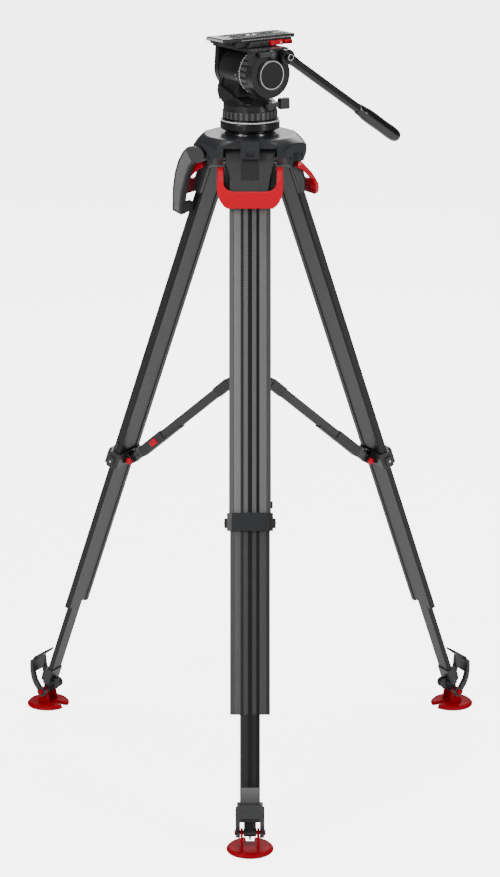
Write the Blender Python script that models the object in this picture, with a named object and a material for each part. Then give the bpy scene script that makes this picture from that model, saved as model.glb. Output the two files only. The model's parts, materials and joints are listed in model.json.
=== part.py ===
"""Three-legged camera stand with a levelled fluid head, a mid-level spreader and hinged feet.

Metres, +Z up. The origin is on the floor under the middle of the stand's footprint.
The pan axis is vertical; the legs stand at three azimuths round it.
"""

import math

import bmesh
import bpy
from mathutils import Matrix, Vector

# Stand
PAN_AXIS_Y = 0.095
LEG_AZIMUTHS = {"front": -90.0, "right": 30.0, "left": 150.0}
LEG_ANGLE = 19.72
HINGE_R = 0.0505
HINGE_Z = 0.9462
PIN_R = 0.0037
HOLE_R = 0.0040
GAP = 0.0004
POLE_RADIUS = 1e-7

# Crown and bowl
CROWN_TOP = 0.9745
CROWN_FLAT_R = 0.066
CROWN_PLATE_BOTTOM = 0.9615
CROWN_BOTTOM = 0.9365
FORK_HALF = 0.039
PRONG_OUTER = 0.052
BORE_R = 0.0423
BORE_WALL = 0.0020
BORE_WALL_BOTTOM = 0.9485
TAB_HALF = 0.01375
BALL_Z = 0.972
BOWL_R = 0.0375
BOWL_OUTER_R = 0.0442
BALL_GAP = 0.0006
SEAT_REACHES = (0.0374, 0.0362, 0.0340, 0.0310, 0.0276, 0.0240)

# Leg stations, measured down the leg from its hinge
TUBE_HALF = 0.0305
UPPER_TOP = 0.024
COLLAR_TOP = 0.518
UPPER_END = 0.544
MIDDLE_TOP = 0.310
MIDDLE_END = 0.8085
LOWER_TOP = 0.470
LOWER_END = 0.955
FOOT_PIVOT = 0.9765
WALL = 0.0012
TUBE_GAP = 0.0016
LEVER_PIVOT = (0.0020, -0.0200)

# Foot
DISC_R = 0.034
FOOT_PIVOT_Z = HINGE_Z - FOOT_PIVOT * math.cos(math.radians(LEG_ANGLE))

# Spreader
ARM_PIVOT = (-0.0200, -0.5290)
HUB_Z = 0.600
HUB_PIVOT_R = 0.022
HUB_R = 0.026
HUB_SLOT_HALF = 0.0055
HUB_SLOT_FLOOR = 0.0068
SLEEVE_END = 0.112

# Head
HEAD_YAW = 35.0
FLANGE_BOTTOM = 0.9810
FLANGE_TOP = 0.9925
FLANGE_R = 0.044
SCALE_TOP = 0.9968
DRAG_TOP = 1.0095
HOUSING_TOP = 1.0260
TILT_Z = 1.0655
BARREL_R = 0.029
FAR_ARM_SWEEP = 0.0480
CAP_R = 0.034
PLATE_TOP = 1.1185
PLATE_HALF = 0.0225
BAR_EYE = (0.0241, 1.0909)
BAR_ANGLE = 34.1
BAR_GRIP_START = 0.1555

FINISHES = {
    "cast_black": ((0.030, 0.031, 0.033, 1), 0.45, 0.3),
    "carbon": ((0.045, 0.045, 0.045, 1), 0.42, 0.0),
    "grey_cast": ((0.085, 0.085, 0.085, 1), 0.45, 0.3),
    "red": ((0.75, 0.02, 0.03, 1), 0.35, 0.0),
    "black_plastic": ((0.018, 0.018, 0.018, 1), 0.5, 0.0),
    "rubber": ((0.025, 0.025, 0.025, 1), 0.8, 0.0),
    "steel": ((0.55, 0.55, 0.56, 1), 0.3, 1.0),
}


def clear_scene():
    for old in list(bpy.data.objects):
        bpy.data.objects.remove(old, do_unlink=True)


def material(name):
    found = bpy.data.materials.get(name)
    if found:
        return found
    colour, roughness, metallic = FINISHES[name]
    made = bpy.data.materials.new(name)
    made.use_nodes = True
    shader = made.node_tree.nodes["Principled BSDF"]
    shader.inputs["Base Color"].default_value = colour
    shader.inputs["Roughness"].default_value = roughness
    shader.inputs["Metallic"].default_value = metallic
    return made


def solid(bm, name="shape"):
    """Turns the bmesh into an object in the scene, with its faces pointing out."""
    bmesh.ops.recalc_face_normals(bm, faces=bm.faces)
    mesh = bpy.data.meshes.new(name)
    bm.to_mesh(mesh)
    bm.free()
    made = bpy.data.objects.new(name, mesh)
    bpy.context.scene.collection.objects.link(made)
    return made


def along(axis, first, second, height):
    """A point from two in-plane coordinates and its height along the axis."""
    if axis == "X":
        return (height, first, second)
    if axis == "Y":
        return (first, height, second)
    return (first, second, height)


def prism(outline, axis, low, high):
    bm = bmesh.new()
    bottom = [bm.verts.new(along(axis, a, b, low)) for a, b in outline]
    top = [bm.verts.new(along(axis, a, b, high)) for a, b in outline]
    bm.faces.new(bottom)
    bm.faces.new(top)
    for i in range(len(outline)):
        j = (i + 1) % len(outline)
        bm.faces.new((bottom[i], bottom[j], top[j], top[i]))
    return solid(bm)


def block(x0, x1, y0, y1, z0, z1):
    return prism([(x0, y0), (x1, y0), (x1, y1), (x0, y1)], "Z", z0, z1)


def circle(radius, count, centre=(0.0, 0.0)):
    turns = [2 * math.pi * i / count for i in range(count)]
    return [(centre[0] + radius * math.cos(t), centre[1] + radius * math.sin(t)) for t in turns]


def cylinder(axis, radius, low, high, centre=(0.0, 0.0), count=20):
    return prism(circle(radius, count, centre), axis, low, high)


def arc(centre, radius, start, end, count):
    """Points on an arc, from start to end degrees, both included."""
    turns = [math.radians(start + (end - start) * i / (count - 1)) for i in range(count)]
    return [(centre[0] + radius * math.cos(t), centre[1] + radius * math.sin(t)) for t in turns]


def lathe(profile, count=40):
    """Turns a closed (radius, z) profile about Z. Points at radius 0 become poles."""
    bm = bmesh.new()
    rings = []
    for radius, z in profile:
        if radius < POLE_RADIUS:
            rings.append([bm.verts.new((0.0, 0.0, z))])
            continue
        rings.append([bm.verts.new((x, y, z)) for x, y in circle(radius, count)])
    for here, there in zip(rings, rings[1:] + rings[:1]):
        if len(here) == 1 and len(there) == 1:
            continue
        for i in range(count):
            j = (i + 1) % count
            corners = [here[i % len(here)], here[j % len(here)], there[j % len(there)], there[i % len(there)]]
            bm.faces.new(list(dict.fromkeys(corners)))
    return solid(bm)


def combine(target, tool, operation):
    """Applies an exact Boolean of the tool to the target and removes the tool."""
    modifier = target.modifiers.new("combine", "BOOLEAN")
    modifier.operation = operation
    modifier.solver = "EXACT"
    modifier.object = tool
    bpy.context.view_layer.update()
    graph = bpy.context.evaluated_depsgraph_get()
    result = bpy.data.meshes.new_from_object(target.evaluated_get(graph))
    target.modifiers.clear()
    target.data = result
    bpy.data.objects.remove(tool, do_unlink=True)
    return target


def join(target, *tools):
    for tool in tools:
        combine(target, tool, "UNION")
    return target


def cut(target, *tools):
    for tool in tools:
        combine(target, tool, "DIFFERENCE")
    return target


def meet(target, tool):
    return combine(target, tool, "INTERSECT")


def moved(tool, matrix):
    tool.data.transform(matrix)
    return tool


def inset(outline, distance):
    """The counter-clockwise outline moved inwards by the distance, with mitred corners."""
    count = len(outline)
    result = []
    for i in range(count):
        before = Vector(outline[i]) - Vector(outline[i - 1])
        after = Vector(outline[(i + 1) % count]) - Vector(outline[i])
        before.normalize()
        after.normalize()
        normal_before = Vector((-before.y, before.x))
        normal_after = Vector((-after.y, after.x))
        middle = (normal_before + normal_after).normalized()
        reach = distance / max(0.3, middle.dot(normal_before))
        result.append((outline[i][0] + middle.x * reach, outline[i][1] + middle.y * reach))
    return result


def shell(outline, bore, low, high):
    """A tube along Z between two outlines with the same number of points."""
    bm = bmesh.new()
    loops = [[bm.verts.new((x, y, z)) for x, y in ring] for ring, z in
             ((outline, low), (outline, high), (bore, high), (bore, low))]
    for here, there in zip(loops, loops[1:] + loops[:1]):
        for i in range(len(outline)):
            j = (i + 1) % len(outline)
            bm.faces.new((here[i], here[j], there[j], there[i]))
    return solid(bm)


def finish(shape, name, finish_name, parent, origin=(0.0, 0.0, 0.0), smooth=35.0):
    """Names the piece, gives it its material, and puts its origin at the given point of the parent."""
    shape.name = name
    shape.data.name = name
    shape.data.transform(Matrix.Translation(-Vector(origin)))
    shape.data.materials.clear()
    shape.data.materials.append(material(finish_name))
    shape.data.shade_smooth()
    shape.data.set_sharp_from_angle(angle=math.radians(smooth))
    shape.parent = parent
    shape.location = origin
    return shape


def empty(name, parent=None, location=(0.0, 0.0, 0.0), rotation=(0.0, 0.0, 0.0)):
    made = bpy.data.objects.new(name, None)
    bpy.context.scene.collection.objects.link(made)
    made.parent = parent
    made.location = location
    made.rotation_euler = [math.radians(angle) for angle in rotation]
    made.empty_display_size = 0.02
    return made


def station_matrix(azimuth):
    """From a leg's upright frame, whose +Y points outwards, to the crown's frame."""
    return Matrix.Rotation(math.radians(azimuth - 90.0), 4, "Z")




def tube_outline():
    """Section of the upper leg tube: a crowned outer face, two flanges and a shallow inner channel."""
    crown = [(0.0228 - 0.0456 * i / 6, 0.0062 + 0.0023 * (1 - (1 - i / 3) ** 2)) for i in range(7)]
    right = [(0.0190, -0.0085), (0.0280, -0.0085), (TUBE_HALF, -0.0060), (TUBE_HALF, 0.0030),
             (0.0240, 0.0045)]
    left = [(-x, y) for x, y in reversed(right)]
    return right + crown + left + [(-0.0180, -0.0072), (0.0180, -0.0072)]


def lower_outline():
    """Section of the lower leg tube."""
    crown = [(0.0105, 0.0047), (0.0, 0.0052), (-0.0105, 0.0047)]
    right = [(0.0130, -0.0041), (0.0145, -0.0026), (0.0145, 0.0036)]
    return right + crown + [(-x, y) for x, y in reversed(right)]




def crown_body():
    """Domed six-sided casting with three forks, a central bore and a tab over each leg."""
    profile = [(0.0, CROWN_BOTTOM), (0.0900, CROWN_BOTTOM), (0.0870, 0.9560), (0.0840, 0.9590),
               (0.0780, 0.9655), (0.0700, 0.9722), (0.0640, CROWN_TOP), (0.0, CROWN_TOP)]
    body = lathe(profile, 48)
    outline = []
    for azimuth in LEG_AZIMUTHS.values():
        turn = station_matrix(azimuth)
        for side in (1, -1):
            corner = turn @ Vector((side * PRONG_OUTER, CROWN_FLAT_R, 0))
            outline.append((corner.x, corner.y))
    meet(body, prism(outline, "Z", CROWN_BOTTOM - 0.01, CROWN_TOP + 0.01))
    cut(body, cylinder("Z", BORE_R, 0.90, 1.0, count=40))
    for name, azimuth in LEG_AZIMUTHS.items():
        turn = station_matrix(azimuth)
        wall = BORE_R + BORE_WALL
        opening = prism([(0.0320, 0.92), (0.10, 0.92), (0.10, CROWN_PLATE_BOTTOM), (wall, CROWN_PLATE_BOTTOM),
                         (wall, BORE_WALL_BOTTOM), (0.0320, BORE_WALL_BOTTOM)], "X", -FORK_HALF, FORK_HALF)
        slant = prism([(0.0585, 0.92), (0.08, 0.92), (0.08, 0.9580), (CROWN_FLAT_R, 0.9480),
                       (0.0585, CROWN_BOTTOM)], "X", -0.06, 0.06)
        pin_hole = cylinder("X", HOLE_R, -0.06, 0.06, (HINGE_R, HINGE_Z), 14)
        cut(body, *(moved(tool, turn) for tool in (opening, slant, pin_hole)))
        wedge_start = PRONG_OUTER / math.sin(math.radians(60)) + 0.001
        wedge = prism([(0.0, wedge_start), (0.05, wedge_start + 0.0866), (-0.05, wedge_start + 0.0866)],
                      "Z", 0.92, 0.9520)
        cut(body, moved(wedge, station_matrix(azimuth + 60)))
        tab = prism([(0.0700, 0.9461), (0.0715, 0.9480), (0.0715, 0.9690), (0.0685, 0.9730), (0.0600, 0.9738),
                     (0.0600, 0.9625), (0.0668, 0.9600), (0.0668, 0.9461)], "X", -TAB_HALF, TAB_HALF)
        join(body, moved(tab, turn))
        pocket = block(-0.0062, 0.0062, 0.0697, 0.08, 0.9510, 0.9585)
        cut(body, moved(pocket, turn))
        if name == "left":
            room = block(-0.095, -PRONG_OUTER - 0.0004, -0.016, 0.07, -0.02, 0.0135)
            cut(body, moved(moved(room, leg_tilt()), turn))
    return body


def leg_tilt():
    """From the leg's own frame, Z up the leg and Y out of its outer face, to its upright frame."""
    return Matrix.Translation((0, HINGE_R, HINGE_Z)) @ Matrix.Rotation(math.radians(LEG_ANGLE), 4, "X")


def bowl_ring():
    """Levelling bowl: a spherical seat inside, and a spherical underside for the clamp disc."""
    inner = [on_sphere(BOWL_R, reach) for reach in SEAT_REACHES]
    outer = [on_sphere(BOWL_OUTER_R, reach) for reach in (0.0240, 0.0320, 0.0380)]
    rim = BORE_R - 0.0003
    return lathe([(0.03745, CROWN_TOP)] + inner + outer + [(rim, outer[-1][1]), (rim, CROWN_TOP)], 40)




def shoulder():
    """Leg casting: a tapered shield over the tube's face, a barrel for the pin and a plug for the tube."""
    side = [(0.0135, -0.0560), (0.0110, 0.0030), (0.0060, 0.0105), (0.0, 0.0085), (-0.0045, 0.0042),
            (-0.0060, 0.0), (-0.0085, -0.0060), (-0.0085, -0.0235), (0.0094, -0.0235), (0.0094, -0.0560)]
    body = prism(side, "X", -0.0372, 0.0372)
    front = [(-0.0238, -0.0600), (0.0238, -0.0600), (0.0372, 0.0085), (0.0300, 0.0110), (-0.0300, 0.0110),
             (-0.0372, 0.0085)]
    meet(body, prism(front, "Y", -0.03, 0.03))
    for side_sign in (-1, 1):
        ends = sorted((side_sign * 0.030, side_sign * 0.0384))
        join(body, cylinder("X", 0.0034, ends[0], ends[1], LEVER_PIVOT, 14))
    join(body, block(-0.0200, 0.0200, -0.0050, 0.0040, -0.0540, -0.0200))
    return cut(body, cylinder("X", HOLE_R, -0.05, 0.05, count=14))


def collar():
    """Sleeve at the upper tube's end, with side lugs, a front panel and two ears for the spreader."""
    outline = tube_outline()
    body = prism(inset(outline, -0.0030), "Z", -UPPER_END, -COLLAR_TOP)
    join(body, block(-0.0373, 0.0373, -0.0065, 0.0045, -0.5400, -0.5260))
    panel = [(-0.0265, -UPPER_END), (0.0265, -UPPER_END), (0.0265, -0.5215), (0.0235, -COLLAR_TOP),
             (-0.0235, -COLLAR_TOP), (-0.0265, -0.5215)]
    join(body, prism(panel, "Y", 0.0, 0.0132))
    ear = [(-0.0080, -0.5400), (-0.0080, -0.5190)] + arc(ARM_PIVOT, 0.0062, 60, 300, 7)
    for side_sign in (-1, 1):
        ends = sorted((side_sign * 0.0066, side_sign * 0.0105))
        join(body, prism(ear, "X", ends[0], ends[1]))
    cut(body, prism(inset(outline, -0.0003), "Z", -0.56, -0.50))
    return cut(body, cylinder("X", 0.0024, -0.03, 0.03, ARM_PIVOT, 10))


def middle_tube():
    outline = tube_outline()
    body = prism(inset(outline, TUBE_GAP), "Z", -MIDDLE_END, -MIDDLE_TOP)
    cut(body, prism(inset(outline, TUBE_GAP + WALL), "Z", -MIDDLE_END + 0.012, -0.30))
    return cut(body, prism(inset(lower_outline(), -GAP), "Z", -0.83, -0.78))


def foot_fork():
    """Casting on the lower tube's end: socket, web, pivot barrel and a round heel on the inner side."""
    body = prism(inset(lower_outline(), -0.0016), "Z", -0.9620, -0.9350)
    cut(body, prism(inset(lower_outline(), -0.0003), "Z", -0.9553, -0.93))
    web = [(0.0050, -0.9600), (-0.0060, -0.9600), (-0.0130, -0.9500), (-0.0195, -0.9560), (-0.0160, -0.9640),
           (-0.0055, -0.9765), (0.0, -0.9810), (0.0055, -0.9765)]
    join(body, prism(web, "X", -0.0045, 0.0045))
    join(body, cylinder("X", 0.0075, -0.0052, 0.0052, (-0.0125, -0.9570)))
    join(body, cylinder("X", 0.0060, -0.0094, 0.0094, (0.0, -FOOT_PIVOT)))
    return cut(body, cylinder("X", 0.0034, -0.02, 0.02, (0.0, -FOOT_PIVOT), 16))


def foot_pad():
    """Round pad with a slot, two ears and the pivot with its knobs. The pivot is the origin."""
    sole = -FOOT_PIVOT_Z
    body = lathe([(0, sole), (DISC_R - 0.0006, sole), (DISC_R, sole + 0.0008), (DISC_R, sole + 0.0030),
                  (0.0310, sole + 0.0060), (0.0120, sole + 0.0072), (0, sole + 0.0072)], 30)
    slot = [(-0.0090, -0.0350), (0.0090, -0.0350), (0.0062, -0.0280), (0.0056, -0.0150), (-0.0056, -0.0150),
            (-0.0062, -0.0280)]
    cut(body, prism(slot, "Z", -0.05, 0.0))
    ear = [(-0.0110, sole + 0.0040), (0.0110, sole + 0.0040)] + arc((0, 0), 0.0060, -10, 190, 9)
    for side_sign in (-1, 1):
        ends = sorted((side_sign * 0.0100, side_sign * 0.0136))
        join(body, prism(ear, "X", ends[0], ends[1]))
    join(body, cylinder("X", 0.0030, -0.0215, 0.0215, count=12))
    for side_sign in (-1, 1):
        ends = sorted((side_sign * 0.0192, side_sign * 0.0226))
        join(body, cylinder("X", 0.0042, ends[0], ends[1], count=12))
    return body


def foot_latch():
    """Yoke on the foot's pivot, curving up outside the leg to a thumb tab. The pivot is the origin."""
    outer = [(0.0150, 0.0100), (0.0200, 0.0220), (0.0215, 0.0360), (0.0215, 0.0500)]
    inner = [(0.0150, 0.0500), (0.0140, 0.0360), (0.0100, 0.0200), (0.0020, 0.0075)]
    arm = arc((0, 0), 0.0080, -170, 20, 10) + outer + inner + [(-0.0075, 0.0028)]
    body = prism(arm, "X", -0.0187, -0.0141)
    other = prism(arm, "X", 0.0141, 0.0187)
    bridge = [(0.0215, 0.0300), (0.0215, 0.0500), (0.0150, 0.0540), (0.0150, 0.0300)]
    join(body, prism(bridge, "X", -0.0187, 0.0187), other)
    tab = [(0.0215, 0.0480), (0.0180, 0.0550), (-0.0030, 0.0680), (-0.0045, 0.0655), (0.0150, 0.0500)]
    join(body, prism(tab, "X", -0.0130, 0.0130))
    return cut(body, cylinder("X", 0.0034, -0.03, 0.03, count=16))


def brake_lever():
    """U-shaped lever round the shoulder; its eyes are on the shoulder's stubs."""
    half = [(0.0470, -0.0135), (0.0480, -0.0200), (0.0480, -0.0520), (0.0465, -0.0600), (0.0430, -0.0680),
            (0.0380, -0.0745), (0.0330, -0.0780)]
    inside = [(0.0240, -0.0530), (0.0300, -0.0517), (0.0345, -0.0490), (0.0377, -0.0440), (0.0387, -0.0380),
              (0.0387, -0.0135)]
    outline = half + [(-x, z) for x, z in reversed(half)] + [(-x, z) for x, z in reversed(inside)] + inside
    body = prism(outline, "Y", -0.02, 0.04)
    side = arc(LEVER_PIVOT, 0.0058, 60, 260, 10) + [(0.0090, -0.0380), (0.0150, -0.0500), (0.0158, -0.0790),
                                                    (0.0222, -0.0790), (0.0215, -0.0600), (0.0160, -0.0390)]
    return meet(body, prism(side, "X", -0.06, 0.06))


def carry_handle():
    """Strap beside the left leg, from the hinge's end to the tube's side, with room for a hand."""
    outer = [(0.0110, 0.0085), (0.0200, 0.0040), (0.0250, -0.0060), (0.0275, -0.0220), (0.0270, -0.0400),
             (0.0225, -0.0640), (0.0155, -0.0850), (0.0120, -0.0960)]
    inner = [(-0.0040, -0.0960), (0.0010, -0.0830), (0.0050, -0.0620), (0.0065, -0.0400), (0.0060, -0.0220),
             (0.0020, -0.0125)]
    outline = outer + inner + arc((0, 0), 0.0115, -95, -275, 9)
    body = prism(outline, "X", -0.0670, -0.0530)
    foot = prism([(-0.0030, -0.0960), (0.0080, -0.0960), (0.0080, -0.0830), (0.0005, -0.0830)],
                 "X", -0.0600, -TUBE_HALF - 0.0004)
    return join(body, foot)


def spreader_sleeve():
    """Outer half of an arm. Its pivot is the origin, and +Z runs to the hub."""
    body = block(-0.0068, 0.0068, -0.0084, 0.0084, 0.0230, SLEEVE_END)
    end = [(0.0060, 0.0280), (-0.0060, 0.0280)] + arc((0, 0), 0.0060, 180, 360, 9)
    join(body, prism(end, "X", -0.0061, 0.0061))
    cut(body, block(-0.0053, 0.0053, -0.0073, 0.0073, 0.0330, SLEEVE_END + 0.01))
    return cut(body, cylinder("X", 0.0024, -0.02, 0.02, count=10))


def spreader_bar(length):
    body = block(-0.0050, 0.0050, -0.0070, 0.0070, 0.0450, length - 0.0140)
    tongue = [(0.0065, length - 0.0160), (0.0065, length)] + arc((0, length), 0.0065, 20, 160, 7)
    tongue += [(-0.0065, length), (-0.0065, length - 0.0160)]
    return join(body, prism(tongue, "X", -0.0035, 0.0035))


def spreader_pin():
    body = cylinder("X", 0.0020, -0.0120, 0.0120, count=10)
    for side_sign in (-1, 1):
        ends = sorted((side_sign * 0.0108, side_sign * 0.0146))
        join(body, cylinder("X", 0.0052, ends[0], ends[1], count=14))
    return body


def spreader_hub():
    body = cylinder("Z", HUB_R, HUB_Z - 0.013, HUB_Z + 0.013, count=36)
    for azimuth in LEG_AZIMUTHS.values():
        slot = block(-HUB_SLOT_HALF, HUB_SLOT_HALF, HUB_SLOT_FLOOR, 0.05, HUB_Z - 0.03, HUB_Z + 0.03)
        cut(body, moved(slot, station_matrix(azimuth)))
    return body


def pivot_pin():
    return cylinder("X", PIN_R, -0.0516, 0.0516, count=14)


def build_leg(stand, name, azimuth):
    station = empty("station_" + name, stand, rotation=(0, 0, azimuth - 90))
    leg = empty("hinge_" + name, station, (0, HINGE_R, HINGE_Z), (LEG_ANGLE, 0, 0))
    outline = tube_outline()
    finish(pivot_pin(), "pivot_pin_" + name, "steel", leg)
    finish(shoulder(), "shoulder_" + name, "grey_cast", leg)
    upper = shell(outline, inset(outline, WALL), -UPPER_END, -UPPER_TOP)
    finish(upper, "upper_tube_" + name, "carbon", leg, (0, 0, -UPPER_TOP))
    finish(collar(), "collar_" + name, "black_plastic", leg, (0, 0, -UPPER_END))
    finish(middle_tube(), "middle_tube_" + name, "carbon", leg, (0, 0, -MIDDLE_TOP))
    lower = shell(lower_outline(), inset(lower_outline(), WALL), -LOWER_END, -LOWER_TOP)
    finish(lower, "lower_tube_" + name, "carbon", leg, (0, 0, -LOWER_TOP))
    finish(foot_fork(), "foot_fork_" + name, "black_plastic", leg, (0, 0, -FOOT_PIVOT))
    finish(brake_lever(), "brake_lever_" + name, "red", leg, (0, *LEVER_PIVOT))
    ankle = empty("ankle_" + name, leg, (0, 0, -FOOT_PIVOT), (-LEG_ANGLE, 0, 0))
    finish(foot_pad(), "foot_pad_" + name, "red", ankle)
    finish(foot_latch(), "foot_latch_" + name, "black_plastic", ankle)
    pivot = leg_tilt() @ Vector((0, *ARM_PIVOT))
    run = Vector((pivot.y - HUB_PIVOT_R, HUB_Z - pivot.z))
    lean = math.degrees(math.atan2(run.x, run.y))
    arm = empty("arm_" + name, station, pivot, (lean, 0, 0))
    finish(spreader_sleeve(), "spreader_arm_" + name, "black_plastic", arm)
    finish(spreader_bar(run.length), "spreader_slider_" + name, "cast_black", arm)
    finish(spreader_pin(), "spreader_knob_" + name, "red", arm)
    if name == "left":
        finish(carry_handle(), "carry_handle", "rubber", leg)


def on_sphere(radius, reach):
    """A point on the lower half of a sphere about the levelling centre, as (radius, z)."""
    return (reach, BALL_Z - math.sqrt(radius * radius - reach * reach))


def ball_base():
    """Half ball, neck, flange with the scale step, the spigot for the pan bearing, and the tie-down stud.

    In the head's frame +X points to the operator and -Y to the side of the pan bar.
    """
    ball_r = BOWL_R - BALL_GAP
    ball = [on_sphere(ball_r, reach) for reach in (0.0200, 0.0240, 0.0276, 0.0310, 0.0340)]
    profile = [(0, 0.8840), (0.0050, 0.8840), (0.0050, ball[0][1])] + ball
    profile += [(ball_r, BALL_Z), (0.0362, 0.9765), (0.0345, 0.9785), (0.0345, FLANGE_BOTTOM),
                (0.0420, FLANGE_BOTTOM), (FLANGE_R, FLANGE_BOTTOM + 0.0018), (FLANGE_R, FLANGE_TOP - 0.0012),
                (0.0430, FLANGE_TOP), (0.0424, FLANGE_TOP), (0.0424, SCALE_TOP), (0.0300, SCALE_TOP),
                (0.0300, 1.0060), (0, 1.0060)]
    return lathe(profile, 40)


def clamp_disc():
    top = [on_sphere(BOWL_OUTER_R + 0.0006, reach) for reach in (0.0310, 0.0210, 0.0095)]
    under = [on_sphere(0.0485, reach) for reach in (0.0095, 0.0210, 0.0310)]
    return lathe(top + under, 24)


def tie_down_knob():
    profile = [(0.0054, 0.8830), (0.0190, 0.8830), (0.0212, 0.8860), (0.0212, 0.8990), (0.0190, 0.9020),
               (0.0110, 0.9050), (0.0090, 0.9080), (0.0090, 0.9215), (0.0054, 0.9215)]
    body = lathe(profile, 24)
    for i in range(6):
        turn = 2 * math.pi * i / 6
        centre = (0.0245 * math.cos(turn), 0.0245 * math.sin(turn))
        cut(body, cylinder("Z", 0.0058, 0.87, 0.9035, centre, 10))
    return body


def grip_ring(axis, outer, inner, low, high, teeth, depth, centre=(0.0, 0.0)):
    """A ring with shallow flutes cut along its rim."""
    outline = []
    for i in range(teeth):
        for share, radius in ((0.0, outer - depth), (0.22, outer), (0.72, outer), (0.94, outer - depth)):
            turn = 2 * math.pi * (i + share) / teeth
            outline.append((centre[0] + radius * math.cos(turn), centre[1] + radius * math.sin(turn)))
    body = prism(outline, axis, low, high)
    return cut(body, cylinder(axis, inner, low - 0.01, high + 0.01, centre, 24))


def pan_housing():
    """Turned foot, pedestal and the cross barrel with its scale step and the tilt shaft's two ends."""
    body = lathe([(0, DRAG_TOP + 0.0003), (0.0395, DRAG_TOP + 0.0003), (0.0395, 1.0175), (0.0375, 1.0205),
                  (0.0320, HOUSING_TOP), (0, HOUSING_TOP)], 36)
    pedestal = [(-0.0300, 1.0220), (0.0290, 1.0220), (0.0265, 1.0400), (0.0240, TILT_Z), (-0.0240, TILT_Z),
                (-0.0275, 1.0400)]
    join(body, prism(pedestal, "Y", -0.0100, 0.0380))
    cup = [(0, 1.0050), (0.0392, 1.0050), (0.0392, 1.0182), (0.0440, 1.0227), (0.0480, 1.0290),
           (0.0515, 1.0380), (0.0530, 1.0610), (0, 1.0610)]
    shield = [(0.0365, 1.0436), (0.0250, 1.0415), (0.0080, 1.0360), (-0.0080, 1.0300), (-0.0250, 1.0265),
              (-0.0300, 1.0223), (-0.0300, 1.0155), (0.0365, 1.0155)]
    shield_cup = [(max(0.0, radius - 0.0004), height) for radius, height in cup]
    join(body, meet(prism(shield, "X", -0.0327, -0.0110), lathe(shield_cup, 40)))
    axis_centre = (0.0, TILT_Z)
    cheek = [(-0.0310, 1.0120), (0.0280, 1.0120), (0.0300, 1.0300), (0.0270, 1.0560), (-0.0270, 1.0560),
             (-0.0330, 1.0300)]
    outer_cheek = meet(prism(cheek, "Y", 0.0300, 0.0480), lathe(cup, 40))
    cut(outer_cheek, cylinder("Y", FAR_ARM_SWEEP, 0.0387, 0.06, axis_centre, 32))
    join(body, outer_cheek)
    join(body, cylinder("Y", BARREL_R, -0.0142, 0.0385, axis_centre, 32))
    join(body, cylinder("Y", 0.0318, -0.0196, -0.0140, axis_centre, 36))
    return join(body, cylinder("Y", 0.0080, -0.0460, 0.0460, axis_centre, 16))


def tilt_body():
    """Two round cheeks on the tilt shaft, joined by the deck under the camera platform."""
    axis_centre = (0.0, TILT_Z)
    near = cylinder("Y", CAP_R, -0.0525, -0.0385, axis_centre, 40)
    rise = [(-0.0310, 1.0800), (0.0310, 1.0800), (0.0310, 1.1030), (-0.0330, 1.1030)]
    join(near, prism(rise, "Y", -0.0520, -0.0400))
    far = cylinder("Y", 0.0295, 0.0400, 0.0500, axis_centre, 32)
    rise = [(-0.0292, TILT_Z + 0.0030), (0.0292, TILT_Z + 0.0030), (0.0260, 1.1030), (-0.0270, 1.1030)]
    join(far, prism(rise, "Y", 0.0400, 0.0500))
    deck = block(-0.0330, 0.0310, -0.0500, 0.0480, 1.0994, 1.1030)
    join(near, deck, far)
    return cut(near, cylinder("Y", 0.0085, -0.0466, 0.0466, axis_centre, 16))


def side_cap():
    body = cylinder("Y", 0.0235, -0.0562, -0.0529, (0.0, TILT_Z), 36)
    rim = cylinder("Y", 0.0215, -0.0600, -0.0556, (0.0, TILT_Z), 36)
    return cut(body, rim)


def lever(centre, tip, thickness, boss, low, high):
    """A flat lever in the XZ plane, from a round boss to its tip."""
    body = cylinder("Y", boss, low, high, centre, 20)
    run = Vector(tip) - Vector(centre)
    side = Vector((-run.y, run.x)).normalized() * thickness / 2
    corners = [Vector(centre) + side, Vector(centre) - side, Vector(tip) - side, Vector(tip) + side]
    return join(body, prism([tuple(corner) for corner in corners], "Y", low, high))


def pan_brake_lever():
    body = lever((0.0040, 1.0185), (0.0250, 1.0215), 0.0075, 0.0058, -0.0470, -0.0405)
    paddle = [(0.0200, 1.0130), (0.0350, 1.0125), (0.0365, 1.0150), (0.0355, 1.0290), (0.0200, 1.0290)]
    return join(body, prism(paddle, "Y", -0.0500, -0.0415))


def platform():
    body = block(-0.0400, 0.0600, -0.0215, 0.0215, 1.1034, 1.1086)
    for side_sign in (-1, 1):
        ends = sorted((side_sign * 0.0160, side_sign * 0.0215))
        join(body, block(-0.0400, 0.0600, ends[0], ends[1], 1.1080, 1.1116))
    return body


def camera_plate():
    body = block(-0.0620, 0.0640, -PLATE_HALF, PLATE_HALF, 1.1120, PLATE_TOP)
    return join(body, block(-0.0600, 0.0620, -0.0156, 0.0156, 1.1090, 1.1125))


def plate_lock_lever():
    body = cylinder("Z", 0.0040, 1.1040, 1.1108, (0.0360, -0.0262), 16)
    arm = [(0.0360, -0.0300), (0.0390, -0.0262), (0.0360, -0.0226), (0.0155, -0.0226), (0.0155, -0.0290),
           (0.0200, -0.0310)]
    return join(body, prism(arm, "Z", 1.1045, 1.1100))


def plate_button():
    return block(0.0425, 0.0550, -0.0300, -0.0240, 1.1042, 1.1100)


def bar_frame():
    """From the bar's own frame, +X down the bar, to the head's frame."""
    turn = Matrix.Rotation(math.radians(BAR_ANGLE), 4, "Y")
    return Matrix.Translation((BAR_EYE[0], 0, BAR_EYE[1])) @ turn


def pan_bar():
    body = cylinder("Y", 0.0105, -0.0640, -0.0530, count=28)
    join(body, cylinder("X", 0.0058, 0.0060, BAR_GRIP_START - 0.0003, (-0.0585, 0.0), 12))
    join(body, block(0.0, 0.0300, -0.0630, -0.0540, -0.0065, 0.0065))
    return moved(body, bar_frame())


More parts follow.
